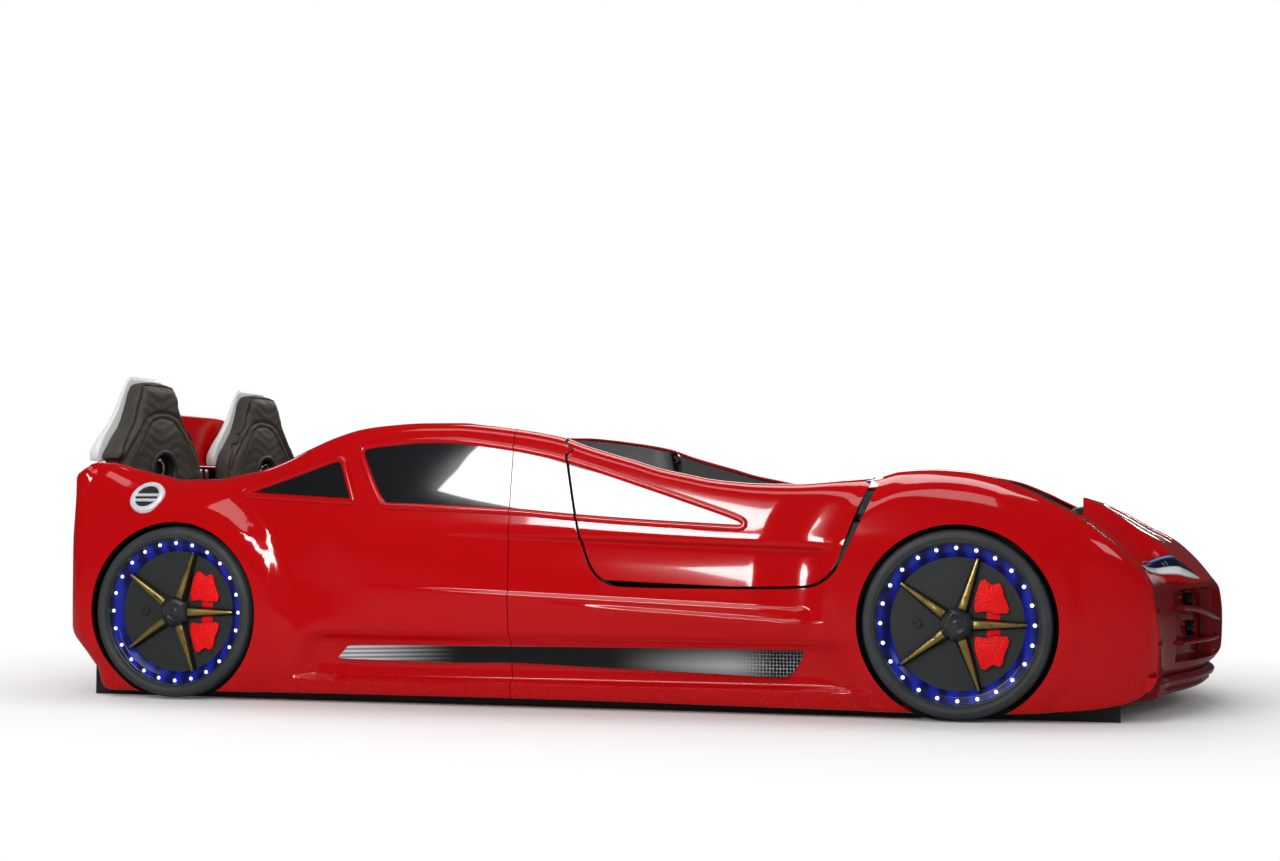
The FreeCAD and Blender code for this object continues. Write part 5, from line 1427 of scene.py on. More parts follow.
def makeStrip():
    # prism with a raised silver edge; the print sits in the sunk middle
    outline = roundedOutline(stripLine, 0.10, 3)
    piece = prismPiece("sillStrip_r", outline, stripSetup["y"], stripSetup["y"] + 0.0026)
    for face in piece.data.polygons:
        face.select = face.normal.y < -0.9
    choose(piece)
    bpy.ops.object.mode_set(mode="EDIT")
    bpy.ops.mesh.select_mode(type="FACE")
    bpy.ops.mesh.inset(thickness=stripSetup["edge"])
    bpy.ops.mesh.inset(thickness=0.0004)
    bpy.ops.transform.translate(value=(0, 0.0007, 0))
    bpy.ops.object.mode_set(mode="OBJECT")
    piece.data.materials.append(finishes["capRim"])
    piece.data.materials.append(finishes["stripPrint"])
    for face in piece.data.polygons:
        if face.normal.y < -0.9 and abs(face.center.y - (stripSetup["y"] + 0.0007)) < 0.0001:
            face.material_index = 1
    bpy.ops.object.mode_set(mode="EDIT")
    bpy.ops.mesh.select_mode(type="VERT")
    bpy.ops.object.mode_set(mode="OBJECT")
    return piece


def makeStripFinish():
    # silver stripes at the rear run into black, black fades to grey, a mesh print at the front
    material, tree, shader = newMaterial("stripPrint")
    place = addNode(tree, "ShaderNodeTexCoord").outputs["Object"]
    split = addNode(tree, "ShaderNodeSeparateXYZ")
    tree.links.new(place, split.inputs[0])
    along, up = split.outputs["X"], split.outputs["Z"]
    stripes = mathNode(tree, "FRACT", mathNode(tree, "MULTIPLY", mathNode(tree, "SUBTRACT", up, mathNode(
        tree, "MULTIPLY", along, 0.030)), 120.0))
    lines = rampOut(tree, stripes, 0.42, 0.62)
    rearShare = rampOut(tree, along, -0.30, -0.545)
    silver = mathNode(tree, "MULTIPLY", mathNode(tree, "ADD", mathNode(tree, "MULTIPLY", lines, 0.55), 0.35), rearShare)
    frontShare = rampOut(tree, along, 0.00, 0.27)
    middle = mathNode(tree, "SUBTRACT", 1.0, mathNode(tree, "MULTIPLY", mathNode(tree, "ABSOLUTE", mathNode(
        tree, "SUBTRACT", up, 0.094)), 26.0), clamp=True)
    fade = mathNode(tree, "MULTIPLY", frontShare, mathNode(tree, "MULTIPLY", middle, 0.55))
    scaled = addNode(tree, "ShaderNodeVectorMath", operation="MULTIPLY")
    scaled.inputs[1].default_value = (1.0, 0.0, 1.0)
    tree.links.new(place, scaled.inputs[0])
    cells = addNode(tree, "ShaderNodeTexVoronoi", feature="F1", in_Scale=150.0, in_Randomness=0.10)
    tree.links.new(scaled.outputs[0], cells.inputs["Vector"])
    dots = rampOut(tree, cells.outputs["Distance"], 0.58, 0.40)
    mesh = mathNode(tree, "MULTIPLY", dots, rampOut(tree, along, 0.250, 0.345))
    value = mathNode(tree, "ADD", silver, fade, clamp=True)
    colour = mixColour(tree, value, fromByte(8, 9, 10), fromByte(206, 208, 212))
    colour = mixColour(tree, mesh, colour, fromByte(10, 11, 12))
    tree.links.new(colour, shader.inputs["Base Color"])
    smear = rampOut(tree, noiseOut(tree, place, 24.0, 4.0), 0.4, 0.8)
    tree.links.new(mathNode(tree, "ADD", 0.16, mathNode(tree, "MULTIPLY", smear, 0.12)), shader.inputs["Roughness"])
    relief = addNode(tree, "ShaderNodeBump", in_Strength=0.1, in_Distance=0.0003)
    tree.links.new(value, relief.inputs["Height"])
    tree.links.new(relief.outputs[0], shader.inputs["Normal"])
    shader.inputs["Coat Weight"].default_value = 0.3
    shader.inputs["Coat Roughness"].default_value = 0.08
    finishes["stripPrint"] = material


makeStripFinish()
strip = makeStrip()
for side, piece in (("r", strip), ("l", copyPiece(strip, "sillStrip_l", mirror=True))):
    dress(piece, None, "bed", ("sill_strip_" + side,), 30)
print("trims done")

# ---------------------------------------------------------------- door inner frame, trimmed to the skin


def trimDoorFrame(side, sign):
    node = "door_frame_" + side
    source = bpy.data.objects[node]
    piece = copyPiece(source, "doorInner_" + side)
    tidyMesh(piece, 0.00002, outward=False)
    mesh = bmesh.new()
    mesh.from_mesh(piece.data)
    for _ in range(4):
        long = [edge for edge in mesh.edges if edge.calc_length() > 0.03
                and max(abs(v.co.y) for v in edge.verts) > 0.490]
        if not long:
            break
        bmesh.ops.subdivide_edges(mesh, edges=long, cuts=1)
    for vertex in mesh.verts:
        if abs(vertex.co.y) > 0.4895:
            limit = -outerFace(vertex.co.x, vertex.co.z) - 0.0052
            if abs(vertex.co.y) > limit and (vertex.co.x < 0.505 or vertex.co.z > 0.420):
                vertex.co.y = sign * max(limit, 0.4885)
        # the board's upper front corner stays under the rolled edge
        top = curveAt(railPoints, vertex.co.x) - 0.014
        if vertex.co.x > 0.46 and vertex.co.z > top and abs(vertex.co.y) > 0.475:
            vertex.co.y = sign * 0.4765
            vertex.co.z = min(vertex.co.z, top + 0.008)
    mesh.to_mesh(piece.data)
    mesh.free()
    dress(piece, finishes["blackBoard"], sides[side][0], (node,), 30)


for side, sign in (("r", -1), ("l", 1)):
    trimDoorFrame(side, sign)
print("door frames done")
# ---------------------------------------------------------------- seats: white shells and leather pads
seatSetup = {
    "middle": -0.2600,
    "shellFront": -1.1540,
    "shellRound": 0.0075,
    "padBack": -1.1560,
    "padFront": -1.1190,
    "swell": 0.0085,       # furthest that the cushion may puff out
    "voxel": 0.0045,
    "pressure": 4.0,
    "frames": 20,
    "grooveWidth": 0.0042,
    "grooveDeep": 0.0042,
    "dash": 0.0062,
    "dashGap": 0.0030,
}
shellLeft = [(0.5000, -0.4640), (0.5170, -0.4640), (0.5470, -0.4500), (0.5800, -0.4190), (0.6170, -0.3850),
             (0.6450, -0.3670), (0.6700, -0.3520), (0.6830, -0.3420), (0.6930, -0.3240)]
shellRight = [(0.5000, -0.0660), (0.5170, -0.0660), (0.5470, -0.0800), (0.5800, -0.1110), (0.6170, -0.1450),
              (0.6450, -0.1630), (0.6700, -0.1780), (0.6830, -0.1880), (0.6930, -0.2060)]
shellBack = [(0.5000, -1.1785), (0.5170, -1.1780), (0.5470, -1.1735), (0.5750, -1.1695), (0.6170, -1.1670),
             (0.6600, -1.1635), (0.6930, -1.1605)]
padLine = [(-0.4430, 0.4440), (-0.4430, 0.5000), (-0.4615, 0.5080), (-0.4570, 0.5220), (-0.4260, 0.5560),
           (-0.3900, 0.5900), (-0.3680, 0.6280), (-0.3480, 0.6680), (-0.3300, 0.6850), (-0.2010, 0.6850),
           (-0.1810, 0.6680), (-0.1620, 0.6280), (-0.1420, 0.5930), (-0.1080, 0.5600), (-0.0800, 0.5320),
           (-0.0660, 0.5050), (-0.0620, 0.4440)]
archOuter = [(-0.4320, 0.4900), (-0.4140, 0.5150), (-0.3780, 0.5510), (-0.3490, 0.5800), (-0.3250, 0.6000),
             (-0.2900, 0.6100), (-0.2530, 0.6130), (-0.2150, 0.6100), (-0.1820, 0.5990), (-0.1590, 0.5780),
             (-0.1320, 0.5510), (-0.1000, 0.5200), (-0.0860, 0.4900)]
archInner = [(-0.4050, 0.4850), (-0.3890, 0.5080), (-0.3480, 0.5500), (-0.3220, 0.5760), (-0.3000, 0.5920),
             (-0.2760, 0.5990), (-0.2530, 0.6010), (-0.2290, 0.5990), (-0.2070, 0.5920), (-0.1850, 0.5760),
             (-0.1590, 0.5500), (-0.1230, 0.5120), (-0.1080, 0.4850)]
flankSeam = [(-0.4300, 0.4500), (-0.4300, 0.4880), (-0.4350, 0.5180), (-0.4120, 0.5480), (-0.3740, 0.5900),
             (-0.3520, 0.6300), (-0.3340, 0.6640), (-0.3200, 0.6740), (-0.2110, 0.6740), (-0.1960, 0.6640),
             (-0.1780, 0.6300), (-0.1560, 0.5950), (-0.1180, 0.5600), (-0.0880, 0.5240), (-0.0760, 0.4950),
             (-0.0740, 0.4500)]


def makeSeatShell():
    s = seatSetup
    rings = []
    heights = np.concatenate([np.linspace(0.5010, 0.6860, 34), [0.6885, 0.6905, 0.6920, 0.6928]])
    for z in heights:
        left, right = float(curveAt(shellLeft, z)), float(curveAt(shellRight, z))
        back, front = float(curveAt(shellBack, z)), s["shellFront"]
        shrink = 0.0065 * (1 - math.sqrt(max(0.0, 1 - max(0.0, (z - 0.6860) / 0.0070) ** 2)))
        low = 0.0050 * max(0.0, 1 - (z - 0.5010) / 0.008)
        left, right, back, front = left + shrink + low, right - shrink - low, back + shrink * 0.8, front - shrink * 0.6
        ring = []
        r = min(s["shellRound"], (front - back) * 0.49)
        bulge = 0.0018 * min(1.0, (front - back) / 0.02)
        for cx, cy, first in ((front - r, right - r, 0), (back + r, right - r, 90),
                              (back + r, left + r, 180), (front - r, left + r, 270)):
            for k in range(6):
                turn = math.radians(first + 90 * k / 5)
                ring.append((cx + r * math.cos(turn), cy + r * math.sin(turn), z))
            if first == 90:
                for k in range(1, 12):
                    share = k / 12
                    ring.append((back - bulge * 4 * share * (1 - share), right - r + (left - right + 2 * r) * share, z))
        rings.append(ring)
    return loftPiece("seatShell_r", rings)


def evenLine(points, step):
    # points at even steps along a rounded line
    fine = [Vector(points[0])]
    count = len(points)
    for i in range(count - 1):
        before, a, b, after = (Vector(points[min(max(i + k, 0), count - 1)]) for k in (-1, 0, 1, 2))
        for k in range(1, 9):
            t = k / 8
            fine.append(0.5 * ((2 * a) + (b - before) * t + (2 * before - 5 * a + 4 * b - after) * t * t
                               + (3 * a - before - 3 * b + after) * t ** 3))
    result, wanted, travelled = [fine[0]], step, 0.0
    for a, b in zip(fine, fine[1:]):
        length = (b - a).length
        while travelled + length >= wanted:
            result.append(a.lerp(b, (wanted - travelled) / length))
            wanted += step
        travelled += length
    return result


def lineDistance(spots, line):
    # distance of every spot (n, 2) from a line of points
    best = np.full(len(spots), 1e9)
    line = np.array([tuple(p) for p in line])
    for a, b in zip(line, line[1:]):
        along = b - a
        share = np.clip(((spots - a) @ along) / max(1e-12, along @ along), 0, 1)
        best = np.minimum(best, np.linalg.norm(spots - (a + share[:, None] * along), axis=1))
    return best


def puffUp(piece):
    s = seatSetup
    start = np.array([v.co[:] for v in piece.data.vertices])
    modifier = piece.modifiers.new("puff", "CLOTH")
    values = modifier.settings
    values.quality = 5
    values.mass = 0.3
    values.use_pressure = True
    values.uniform_pressure_force = s["pressure"]
    values.effector_weights.gravity = 0
    modifier.point_cache.frame_start = 1
    modifier.point_cache.frame_end = s["frames"]
    for number in range(1, s["frames"] + 1):
        scene.frame_set(number)
    depsgraph = bpy.context.evaluated_depsgraph_get()
    shape = piece.evaluated_get(depsgraph).to_mesh()
    end = np.array([v.co[:] for v in shape.vertices])
    piece.evaluated_get(depsgraph).to_mesh_clear()
    piece.modifiers.remove(modifier)
    scene.frame_set(1)
    move = end - start
    length = np.linalg.norm(move, axis=1)
    capped = move * np.minimum(1.0, s["swell"] / np.maximum(length, 1e-9))[:, None]
    backSide = smoothStep(s["padBack"] + 0.004, s["padBack"] + 0.016, start[:, 0])
    capped[:, 0] *= backSide
    result = start + capped
    for vertex, place in zip(piece.data.vertices, result):
        vertex.co = place
    piece.data.update()
    print("pad travel, largest and mean:", round(float(length.max()), 4), round(float(length.mean()), 4))


def surfaceX(piece, y, z):
    hit, place, normal, _ = piece.ray_cast(Vector((-1.0, y, z)), Vector((-1, 0, 0)))
    return (place, normal) if hit else (Vector((seatSetup["padFront"], y, z)), Vector((1, 0, 0)))


def makePad():
    s = seatSetup
    pad = prismPiece("seatPad_r", roundedOutline(padLine, 0.30, 4), s["padBack"], s["padFront"], "YZ")
    applyModifier(pad, "REMESH", mode="VOXEL", voxel_size=s["voxel"])
    applyModifier(pad, "SMOOTH", factor=0.5, iterations=6)
    puffUp(pad)
    applyModifier(pad, "SMOOTH", factor=0.5, iterations=2)
    applyModifier(pad, "SUBSURF", levels=1, render_levels=1)
    points = np.array([v.co[:] for v in pad.data.vertices])
    spots = points[:, 1:]
    front = smoothStep(s["padFront"] - 0.012, s["padFront"] - 0.002, points[:, 0])
    middle = np.abs(spots[:, 0] - s["middle"])
    deep = np.zeros(len(points))
    for line, share in ((archOuter, 1.0), (archInner, 0.9), (flankSeam, 1.1)):
        away = lineDistance(spots, evenLine(line, 0.004))
        deep += share * s["grooveDeep"] * np.exp(-(away / s["grooveWidth"]) ** 2)
    # side bolsters stand out, the middle sinks a little below the arch
    bolster = 0.0050 * np.exp(-((lineDistance(spots, evenLine(archOuter, 0.004)) - 0.020) / 0.014) ** 2)
    bolster *= smoothStep(0.070, 0.110, middle)
    crown = 0.0045 * np.exp(-(middle / 0.075) ** 2) * smoothStep(0.600, 0.560, spots[:, 1])
    pull = 0.0016 * np.sin(spots[:, 1] * 260 + 3 * np.sin(spots[:, 0] * 40)) * np.exp(-(middle / 0.12) ** 4)
    points[:, 0] += front * (-deep + bolster + crown + 0.3 * pull)
    for vertex, place in zip(pad.data.vertices, points):
        vertex.co = place
    pad.data.update()
    hole = prismPiece("opening", [(s["middle"] + 0.050 * math.cos(a), 0.4840 + 0.0400 * math.sin(a))
                                  for a in np.linspace(0, 2 * math.pi, 40, endpoint=False)],
                      s["padFront"] - 0.010, s["padFront"] + 0.03, "YZ")
    cutWith(pad, hole)
    return pad


def tubeAlong(name, spots, radius, closed=False, sides=8):
    # tube along points, with its ring square to the line
    count = len(spots)
    rings = []
    for i, spot in enumerate(spots):
        before = spots[i - 1] if closed or i else spots[0]
        after = spots[(i + 1) % count] if closed or i < count - 1 else spots[-1]
        along = (after - before).normalized()
        side = along.cross(Vector((1, 0, 0))).normalized()
        up = side.cross(along)
        rings.append([tuple(spot + side * radius * math.cos(t) + up * radius * math.sin(t))
                      for t in np.linspace(0, 2 * math.pi, sides, endpoint=False)])
    if closed:
        rings.append(rings[0])
    return loftPiece(name, rings, caps=not closed)


def makeStitches(pad):
    # sewn threads: short dashes lying on the pad along both arches
    s = seatSetup
    dashes = []
    for line, side in ((archOuter, 0.0034), (archInner, -0.0034)):
        spots = evenLine(line, 0.001)
        count = int(len(spots) / ((s["dash"] + s["dashGap"]) * 1000))
        for k in range(count):
            first = int(k * (s["dash"] + s["dashGap"]) * 1000)
            part = spots[first:first + int(s["dash"] * 1000):2]
            if len(part) < 3 or part[0].y < 0.49:
                continue
            rows = []
            for i, spot in enumerate(part):
                place, normal = surfaceX(pad, spot.x, spot.y)
                rise = math.sin(math.pi * i / (len(part) - 1))
                rows.append(place + Vector((0.0003 + 0.0005 * rise, 0, 0)))
            dashes.append(tubeAlong("dash", rows, 0.00085, sides=5))
    return joinPieces(dashes[0], dashes[1:])


def makePiping(pad):
    spots = []
    for spot in evenLine(flankSeam, 0.005):
        place, normal = surfaceX(pad, spot.x, spot.y)
        spots.append(place + Vector((0.0006, 0, 0)))
    return tubeAlong("padPiping_r", spots, 0.0021, sides=10)


def makeOpening():
    # black bezel round the harness opening and the bright ring that hangs in it
    s = seatSetup
    face = s["padFront"] + 0.0105
    around = [(s["middle"] + 0.0505 * math.cos(a), 0.4840 + 0.0405 * math.sin(a))
              for a in np.linspace(0, 2 * math.pi, 64, endpoint=False)]
    bezel = tubeAlong("padBezel_r", [Vector((face, y, z)) for y, z in around], 0.0060, closed=True, sides=12)
    floor = prismPiece("bezelFloor", [(s["middle"] + (y - s["middle"]) * 0.98, 0.484 + (z - 0.484) * 0.98)
                                      for y, z in around], s["padFront"] - 0.0095, s["padFront"] - 0.0060, "YZ")
    joinPieces(bezel, [floor])
    ring = tubeAlong("harnessRing_r", [Vector((s["padFront"] - 0.001 + 0.004 * math.sin(a),
                                               s["middle"] - 0.010 + 0.0255 * math.cos(a), 0.482 + 0.0240 * math.sin(a)))
                                       for a in np.linspace(0, 2 * math.pi, 48, endpoint=False)],
                     0.0036, closed=True, sides=12)
    return bezel, ring


seatShell = makeSeatShell()
pad = makePad()
stitches = makeStitches(pad)
stitches.name = "padStitches_r"
piping = makePiping(pad)
bezel, harnessRing = makeOpening()
for piece, finish, node, slot, angle in (
        (seatShell, "whiteGloss", "seat_shell_", "white_gloss", 50), (pad, "leather", "seat_pad_", "leather", 70),
        (stitches, "seam", None, "leather", 60), (piping, "pipingRed", None, "leather", 60),
        (bezel, "blackPlastic", None, "black_plastic", 60), (harnessRing, "chrome", None, "silver_print", 60)):
    if finish == "pipingRed":
        finishes["pipingRed"] = groupMaterial("pipingRed", "leather", {
            "Colour": fromByte(52, 14, 14), "Worn Colour": fromByte(86, 22, 20), "Roughness": 0.5},
            bump=0.2, distance=0.0004)
    twin = copyPiece(piece, piece.name[:-2] + "_l", mirror=True)
    for side, one in (("r", piece), ("l", twin)):
        dress(one, finishes[finish], "bed", (node + side,) if node else (), angle)


def makeHeadboard():
    outline = roundedOutline([(-0.205, 0.4995), (-0.205, 0.590), (-0.180, 0.6190), (0.180, 0.6190), (0.205, 0.590),
                              (0.205, 0.4995)], 0.22, 5)
    panel = prismPiece("headboardPanel", outline, -1.1925, -1.1830, "YZ")
    return bevelEdges(panel, 0.0030, 3, 40)


def makeBuckle():
    # bright double hook that stands between the seats on the rear board
    parts = []
    for y in (-0.0150, 0.0130):
        plate = prismPiece("plate", roundedOutline([(y - 0.008, 0.4420), (y - 0.008, 0.4900), (y + 0.008, 0.4900),
                                                    (y + 0.008, 0.4420)], 0.30, 5), -1.1500, -1.1430, "YZ")
        parts.append(plate)
    foot = prismPiece("plate", roundedOutline([(-0.030, 0.4365), (-0.030, 0.4560), (0.028, 0.4560), (0.028, 0.4365)],
                                              0.2, 4), -1.1530, -1.1400, "YZ")
    return bevelEdges(joinPieces(foot, parts), 0.0018, 3, 40)


dress(makeHeadboard(), finishes["headRed"], "bed", ("headboard_panel",), 40)
buckle = makeBuckle()
buckle.name = "harnessHook"
dress(buckle, finishes["chrome"], "bed", (), 40)
print("seats done")
# ---------------------------------------------------------------- tail: skin, lamps and blank plate
tailSetup = {
    "half": 0.4510,
    "thick": 0.0030,
    "bandDeep": 0.0070,
    "plateDeep": 0.0090,
    "plateHalf": 0.1500,
    "finDeep": 0.0100,
    "lampRibs": 7,
}
tailProfile = [  # share down the skin, x, z
    (0.00, -1.1510, 0.4970), (0.03, -1.1640, 0.4968), (0.06, -1.1770, 0.4940), (0.10, -1.1868, 0.4860),
    (0.14, -1.1912, 0.4740), (0.20, -1.1922, 0.4560), (0.40, -1.1924, 0.3600), (0.60, -1.1922, 0.2550),
    (0.78, -1.1912, 0.1650), (0.85, -1.1880, 0.1300), (0.90, -1.1800, 0.1080), (0.95, -1.1690, 0.0900),
    (0.975, -1.1610, 0.0760), (1.00, -1.1590, 0.0580)]


def boxShare(y, z, half, low, high, soft, middle=0.0):
    away = np.abs(y - middle)
    return (1 - smoothStep(half - soft, half + soft, away)) * smoothStep(low - soft, low + soft, z) \
        * (1 - smoothStep(high - soft, high + soft, z))


def tailPoint(share, y):
    s = tailSetup
    x = curveAt([(p[0], p[1]) for p in tailProfile], share)
    z = curveAt([(p[0], p[2]) for p in tailProfile], share)
    x = x + s["bandDeep"] * boxShare(y, z, 0.432, 0.374, 0.442, 0.0035)
    x = x + s["plateDeep"] * boxShare(y, z, s["plateHalf"], 0.232, 0.336, 0.0035)
    x = x + 0.0035 * np.exp(-((z - 0.205) / 0.0035) ** 2) * (1 - boxShare(y, z, 0.060, 0.150, 0.250, 0.008, 0.300))
    fins = 0.5 + 0.5 * np.cos(np.clip(y, -0.33, 0.33) / 0.33 * math.pi * 11)
    fins = smoothStep(0.35, 0.75, fins)
    x = x + s["finDeep"] * boxShare(y, z, 0.330, 0.060, 0.160, 0.006) * (1 - 0.85 * fins) \
        * (1 - boxShare(y, z, 0.060, 0.168, 0.260, 0.004, 0.300))
    # crest above the lamps
    x = x - 0.0010 * np.exp(-((z - 0.462) / 0.010) ** 2)
    return x, z


def makeTailSkin():
    s = tailSetup
    shares = np.concatenate([np.linspace(0, 0.14, 16), np.linspace(0.14, 0.80, 120)[1:], np.linspace(0.80, 1.0, 34)[1:]])
    ys = np.linspace(-s["half"], s["half"], 301)
    share, y = np.meshgrid(shares, ys, indexing="ij")
    x, z = tailPoint(share, y)
    skin = gridPiece("tailSkin", np.stack([x, y, z], axis=2))
    if sum(face.normal.x for face in skin.data.polygons) > 0:
        skin.data.flip_normals()
    applyModifier(skin, "SOLIDIFY", thickness=s["thick"], offset=-1.0)
    clearSelection()
    bpy.ops.mesh.primitive_cube_add(size=1, location=(-1.19, 0.300, 0.200))
    cutter = bpy.context.active_object
    cutter.scale = (0.06, 0.0850, 0.0490)
    bpy.ops.object.transform_apply(location=True, scale=True)
    bevelEdges(cutter, 0.004, 4)
    return cutWith(skin, cutter)


def makeTailLamp():
    # slim lens with ribs, dished ends and a rim
    rows = []
    ys = np.linspace(0.3120, 0.4200, 67)
    for v in np.linspace(0, 1, 21):
        row = []
        for y in ys:
            u = (y - 0.3120) / 0.1080
            low = 0.3850 + 0.0065 * (1 - u) ** 2
            high = 0.4310 - 0.0045 * (1 - u) ** 2
            z = low + (high - low) * v
            edge = min(1.0, 6 * min(u, 1 - u, v * 0.42, (1 - v) * 0.42) + 0.0)
            crown = 0.0062 * math.sqrt(max(0.0, 1 - (1 - edge) ** 2))
            rib = 0.0006 * math.cos(2 * math.pi * tailSetup["lampRibs"] * v) * edge
            row.append((-1.1870 - crown - rib, y, z))
        rows.append(row)
    lens = gridPiece("tailLens_l", np.array(rows))
    if sum(face.normal.x for face in lens.data.polygons) > 0:
        lens.data.flip_normals()
    applyModifier(lens, "SOLIDIFY", thickness=0.0025, offset=-1.0)
    return lens


def makeLampFinish():
    # clear red lens: bright centre band, darker rim, fine flutes
    material, tree, shader = newMaterial("tailLens")
    uv = addNode(tree, "ShaderNodeUVMap", uv_map="UVMap")
    split = addNode(tree, "ShaderNodeSeparateXYZ")
    tree.links.new(uv.outputs[0], split.inputs[0])
    place = addNode(tree, "ShaderNodeTexCoord").outputs["Object"]
    flute = addNode(tree, "ShaderNodeTexWave", in_Scale=150.0, in_Distortion=0.2, bands_direction="Y")
    tree.links.new(place, flute.inputs["Vector"])
    centre = mathNode(tree, "SUBTRACT", 1.0, mathNode(tree, "MULTIPLY", mathNode(tree, "ABSOLUTE", mathNode(
        tree, "SUBTRACT", split.outputs["Y"], 0.5)), 2.0), clamp=True)
    glow = rampOut(tree, centre, 0.25, 0.8)
    colour = mixColour(tree, glow, fromByte(96, 2, 6), fromByte(214, 20, 18))
    tree.links.new(mixColour(tree, 0.25, colour, flute.outputs[0], "MULTIPLY"), shader.inputs["Base Color"])
    relief = addNode(tree, "ShaderNodeBump", in_Strength=0.25, in_Distance=0.0006)
    tree.links.new(flute.outputs["Fac"], relief.inputs["Height"])
    tree.links.new(relief.outputs[0], shader.inputs["Normal"])
    smear = rampOut(tree, noiseOut(tree, place, 30.0, 3.0), 0.4, 0.8)
    tree.links.new(mathNode(tree, "ADD", 0.06, mathNode(tree, "MULTIPLY", smear, 0.08)), shader.inputs["Roughness"])
    shader.inputs["Coat Weight"].default_value = 1.0
    shader.inputs["Coat Roughness"].default_value = 0.02
    finishes["tailLens"] = material


makeLampFinish()
dress(makeTailSkin(), finishes["redGloss"], "bed", ("rear_panel",), 40)
tailLens = makeTailLamp()
for side, piece in (("l", tailLens), ("r", copyPiece(tailLens, "tailLens_r", mirror=True))):
    dress(piece, finishes["tailLens"], "bed", ("tail_lamp_" + side,), 45)

plateOutline = roundedOutline([(-0.140, 0.2400), (0.140, 0.2400), (0.140, 0.3280), (-0.140, 0.3280)], 0.06, 5)
plate = prismPiece("blankPlate", plateOutline, -1.1868, -1.1815, "YZ")
choose(plate)
for face in plate.data.polygons:
    face.select = face.normal.x < -0.9
bpy.ops.object.mode_set(mode="EDIT")
bpy.ops.mesh.select_mode(type="FACE")
bpy.ops.mesh.inset(thickness=0.0050)
bpy.ops.transform.translate(value=(0.0012, 0, 0))
bpy.ops.mesh.select_mode(type="VERT")
bpy.ops.object.mode_set(mode="OBJECT")
dress(bevelEdges(plate, 0.0006, 2), finishes["blackPlastic"], "bed", (), 35)

# ---------------------------------------------------------------- boards and small parts: the edges eased
easedNodes = [  # node, finish, width, body, slot
    ("side_board_r", "blackBoard", 0.0015, "bed", "black_board"),
    ("side_board_l", "blackBoard", 0.0015, "bed", "black_board"),
    ("rear_board", "blackBoard", 0.0015, "bed", "black_board"),
    ("front_board", "blackBoard", 0.0015, "bed", "black_board"),
    ("ledge_r", "woodLong", 0.0020, "bed", "bare_wood"),
    ("ledge_l", "woodLong", 0.0020, "bed", "bare_wood"),
    ("slat_base", "woodCross", 0.0020, "bed", "bare_wood"),
    ("control_box", "blackPlastic", 0.0012, "bed", "black_plastic"),
    ("rocker", "blackPlastic", 0.0008, "switch_rocker", "black_plastic"),
    ("power_inlet", "chrome", 0.0006, "bed", "silver_print"),
    ("door_hinge_r", "steel", 0.0010, "bed", "steel"),
    ("door_hinge_l", "steel", 0.0010, "bed", "steel"),
]


knuckleSetup = {
    "x": 0.520,
    "y": 0.508,
    "reach": 0.0088,
    "share": 0.62,
}


def easeNode(name, finish, width, body, slot):
    source = bpy.data.objects[name]
    piece = copyPiece(source, name + "_eased")
    choose(piece)
    bpy.ops.object.mode_set(mode="EDIT")
    bpy.ops.mesh.select_all(action="SELECT")
    bpy.ops.mesh.remove_doubles(threshold=0.00002)
    bpy.ops.mesh.dissolve_limited(angle_limit=math.radians(1))
    bpy.ops.mesh.normals_make_consistent(inside=False)
    bpy.ops.object.mode_set(mode="OBJECT")
    applyModifier(piece, "BEVEL", width=width, segments=2, limit_method="ANGLE", angle_limit=math.radians(50),
                  use_clamp_overlap=True)
    box = [(min(v.co[i] for v in piece.data.vertices), max(v.co[i] for v in piece.data.vertices)) for i in range(3)]
    was = [(min(v.co[i] for v in source.data.vertices), max(v.co[i] for v in source.data.vertices)) for i in range(3)]
    if any(abs(a - b) > 0.003 for one, two in zip(box, was) for a, b in zip(one, two)):
        print("edge easing left out on", name)
        bpy.data.objects.remove(piece, do_unlink=True)
        return
    dress(piece, finishes[finish], body, (name,), 30)


def slimKnuckle(piece, sign):
    # the shown knuckle is slimmer, so that it stays inside the shell's face
    s = knuckleSetup
    for vertex in piece.data.vertices:
        dx, dy = vertex.co.x - s["x"], vertex.co.y - sign * s["y"]
        if math.hypot(dx, dy) < s["reach"]:
            vertex.co.x = s["x"] + dx * s["share"]
            vertex.co.y = sign * s["y"] + dy * s["share"]
    piece.data.update()


for item in easedNodes:
    if bpy.data.objects.get(item[0]):
        easeNode(*item)
    else:
        print("no node", item[0])
for side, sign in (("r", -1), ("l", 1)):
    slimKnuckle(bpy.data.objects["doorInner_" + side], sign)
    slimKnuckle(bpy.data.objects["door_hinge_" + side + "_eased"], sign)
print("tail and boards done")
# ---------------------------------------------------------------- materials of the carried-over nodes
nodeFinish = {
    "side_board_": "blackBoard", "rear_board": "blackBoard", "front_board": "blackBoard", "ledge_": "woodLong",
    "slat_base": "woodCross", "rear_panel": "redGloss", "tail_lamp_": "redGloss", "door_frame_": "blackBoard",
    "door_hinge_": "steel", "control_box": "blackPlastic", "rocker": "blackPlastic", "power_inlet": "chrome",
    "headboard_panel": "redGloss", "seat_shell_": "whiteGloss", "glass_": "blackGloss", "bumper": "redGloss",
    # grille and lower lip: the darker red is painted shade
    "grille": "darkRed", "lower_lip": "darkRed", "headlamp_": "whiteGloss", "_cover_": "rubber",
    "_light_": "blackGloss", "_star_": "gold", "_caliper_": "caliperRed", "seat_pad_": "leather",
    "sill_strip_": "chrome", "round_cap_": "chrome", "lamp": "redGloss",
}


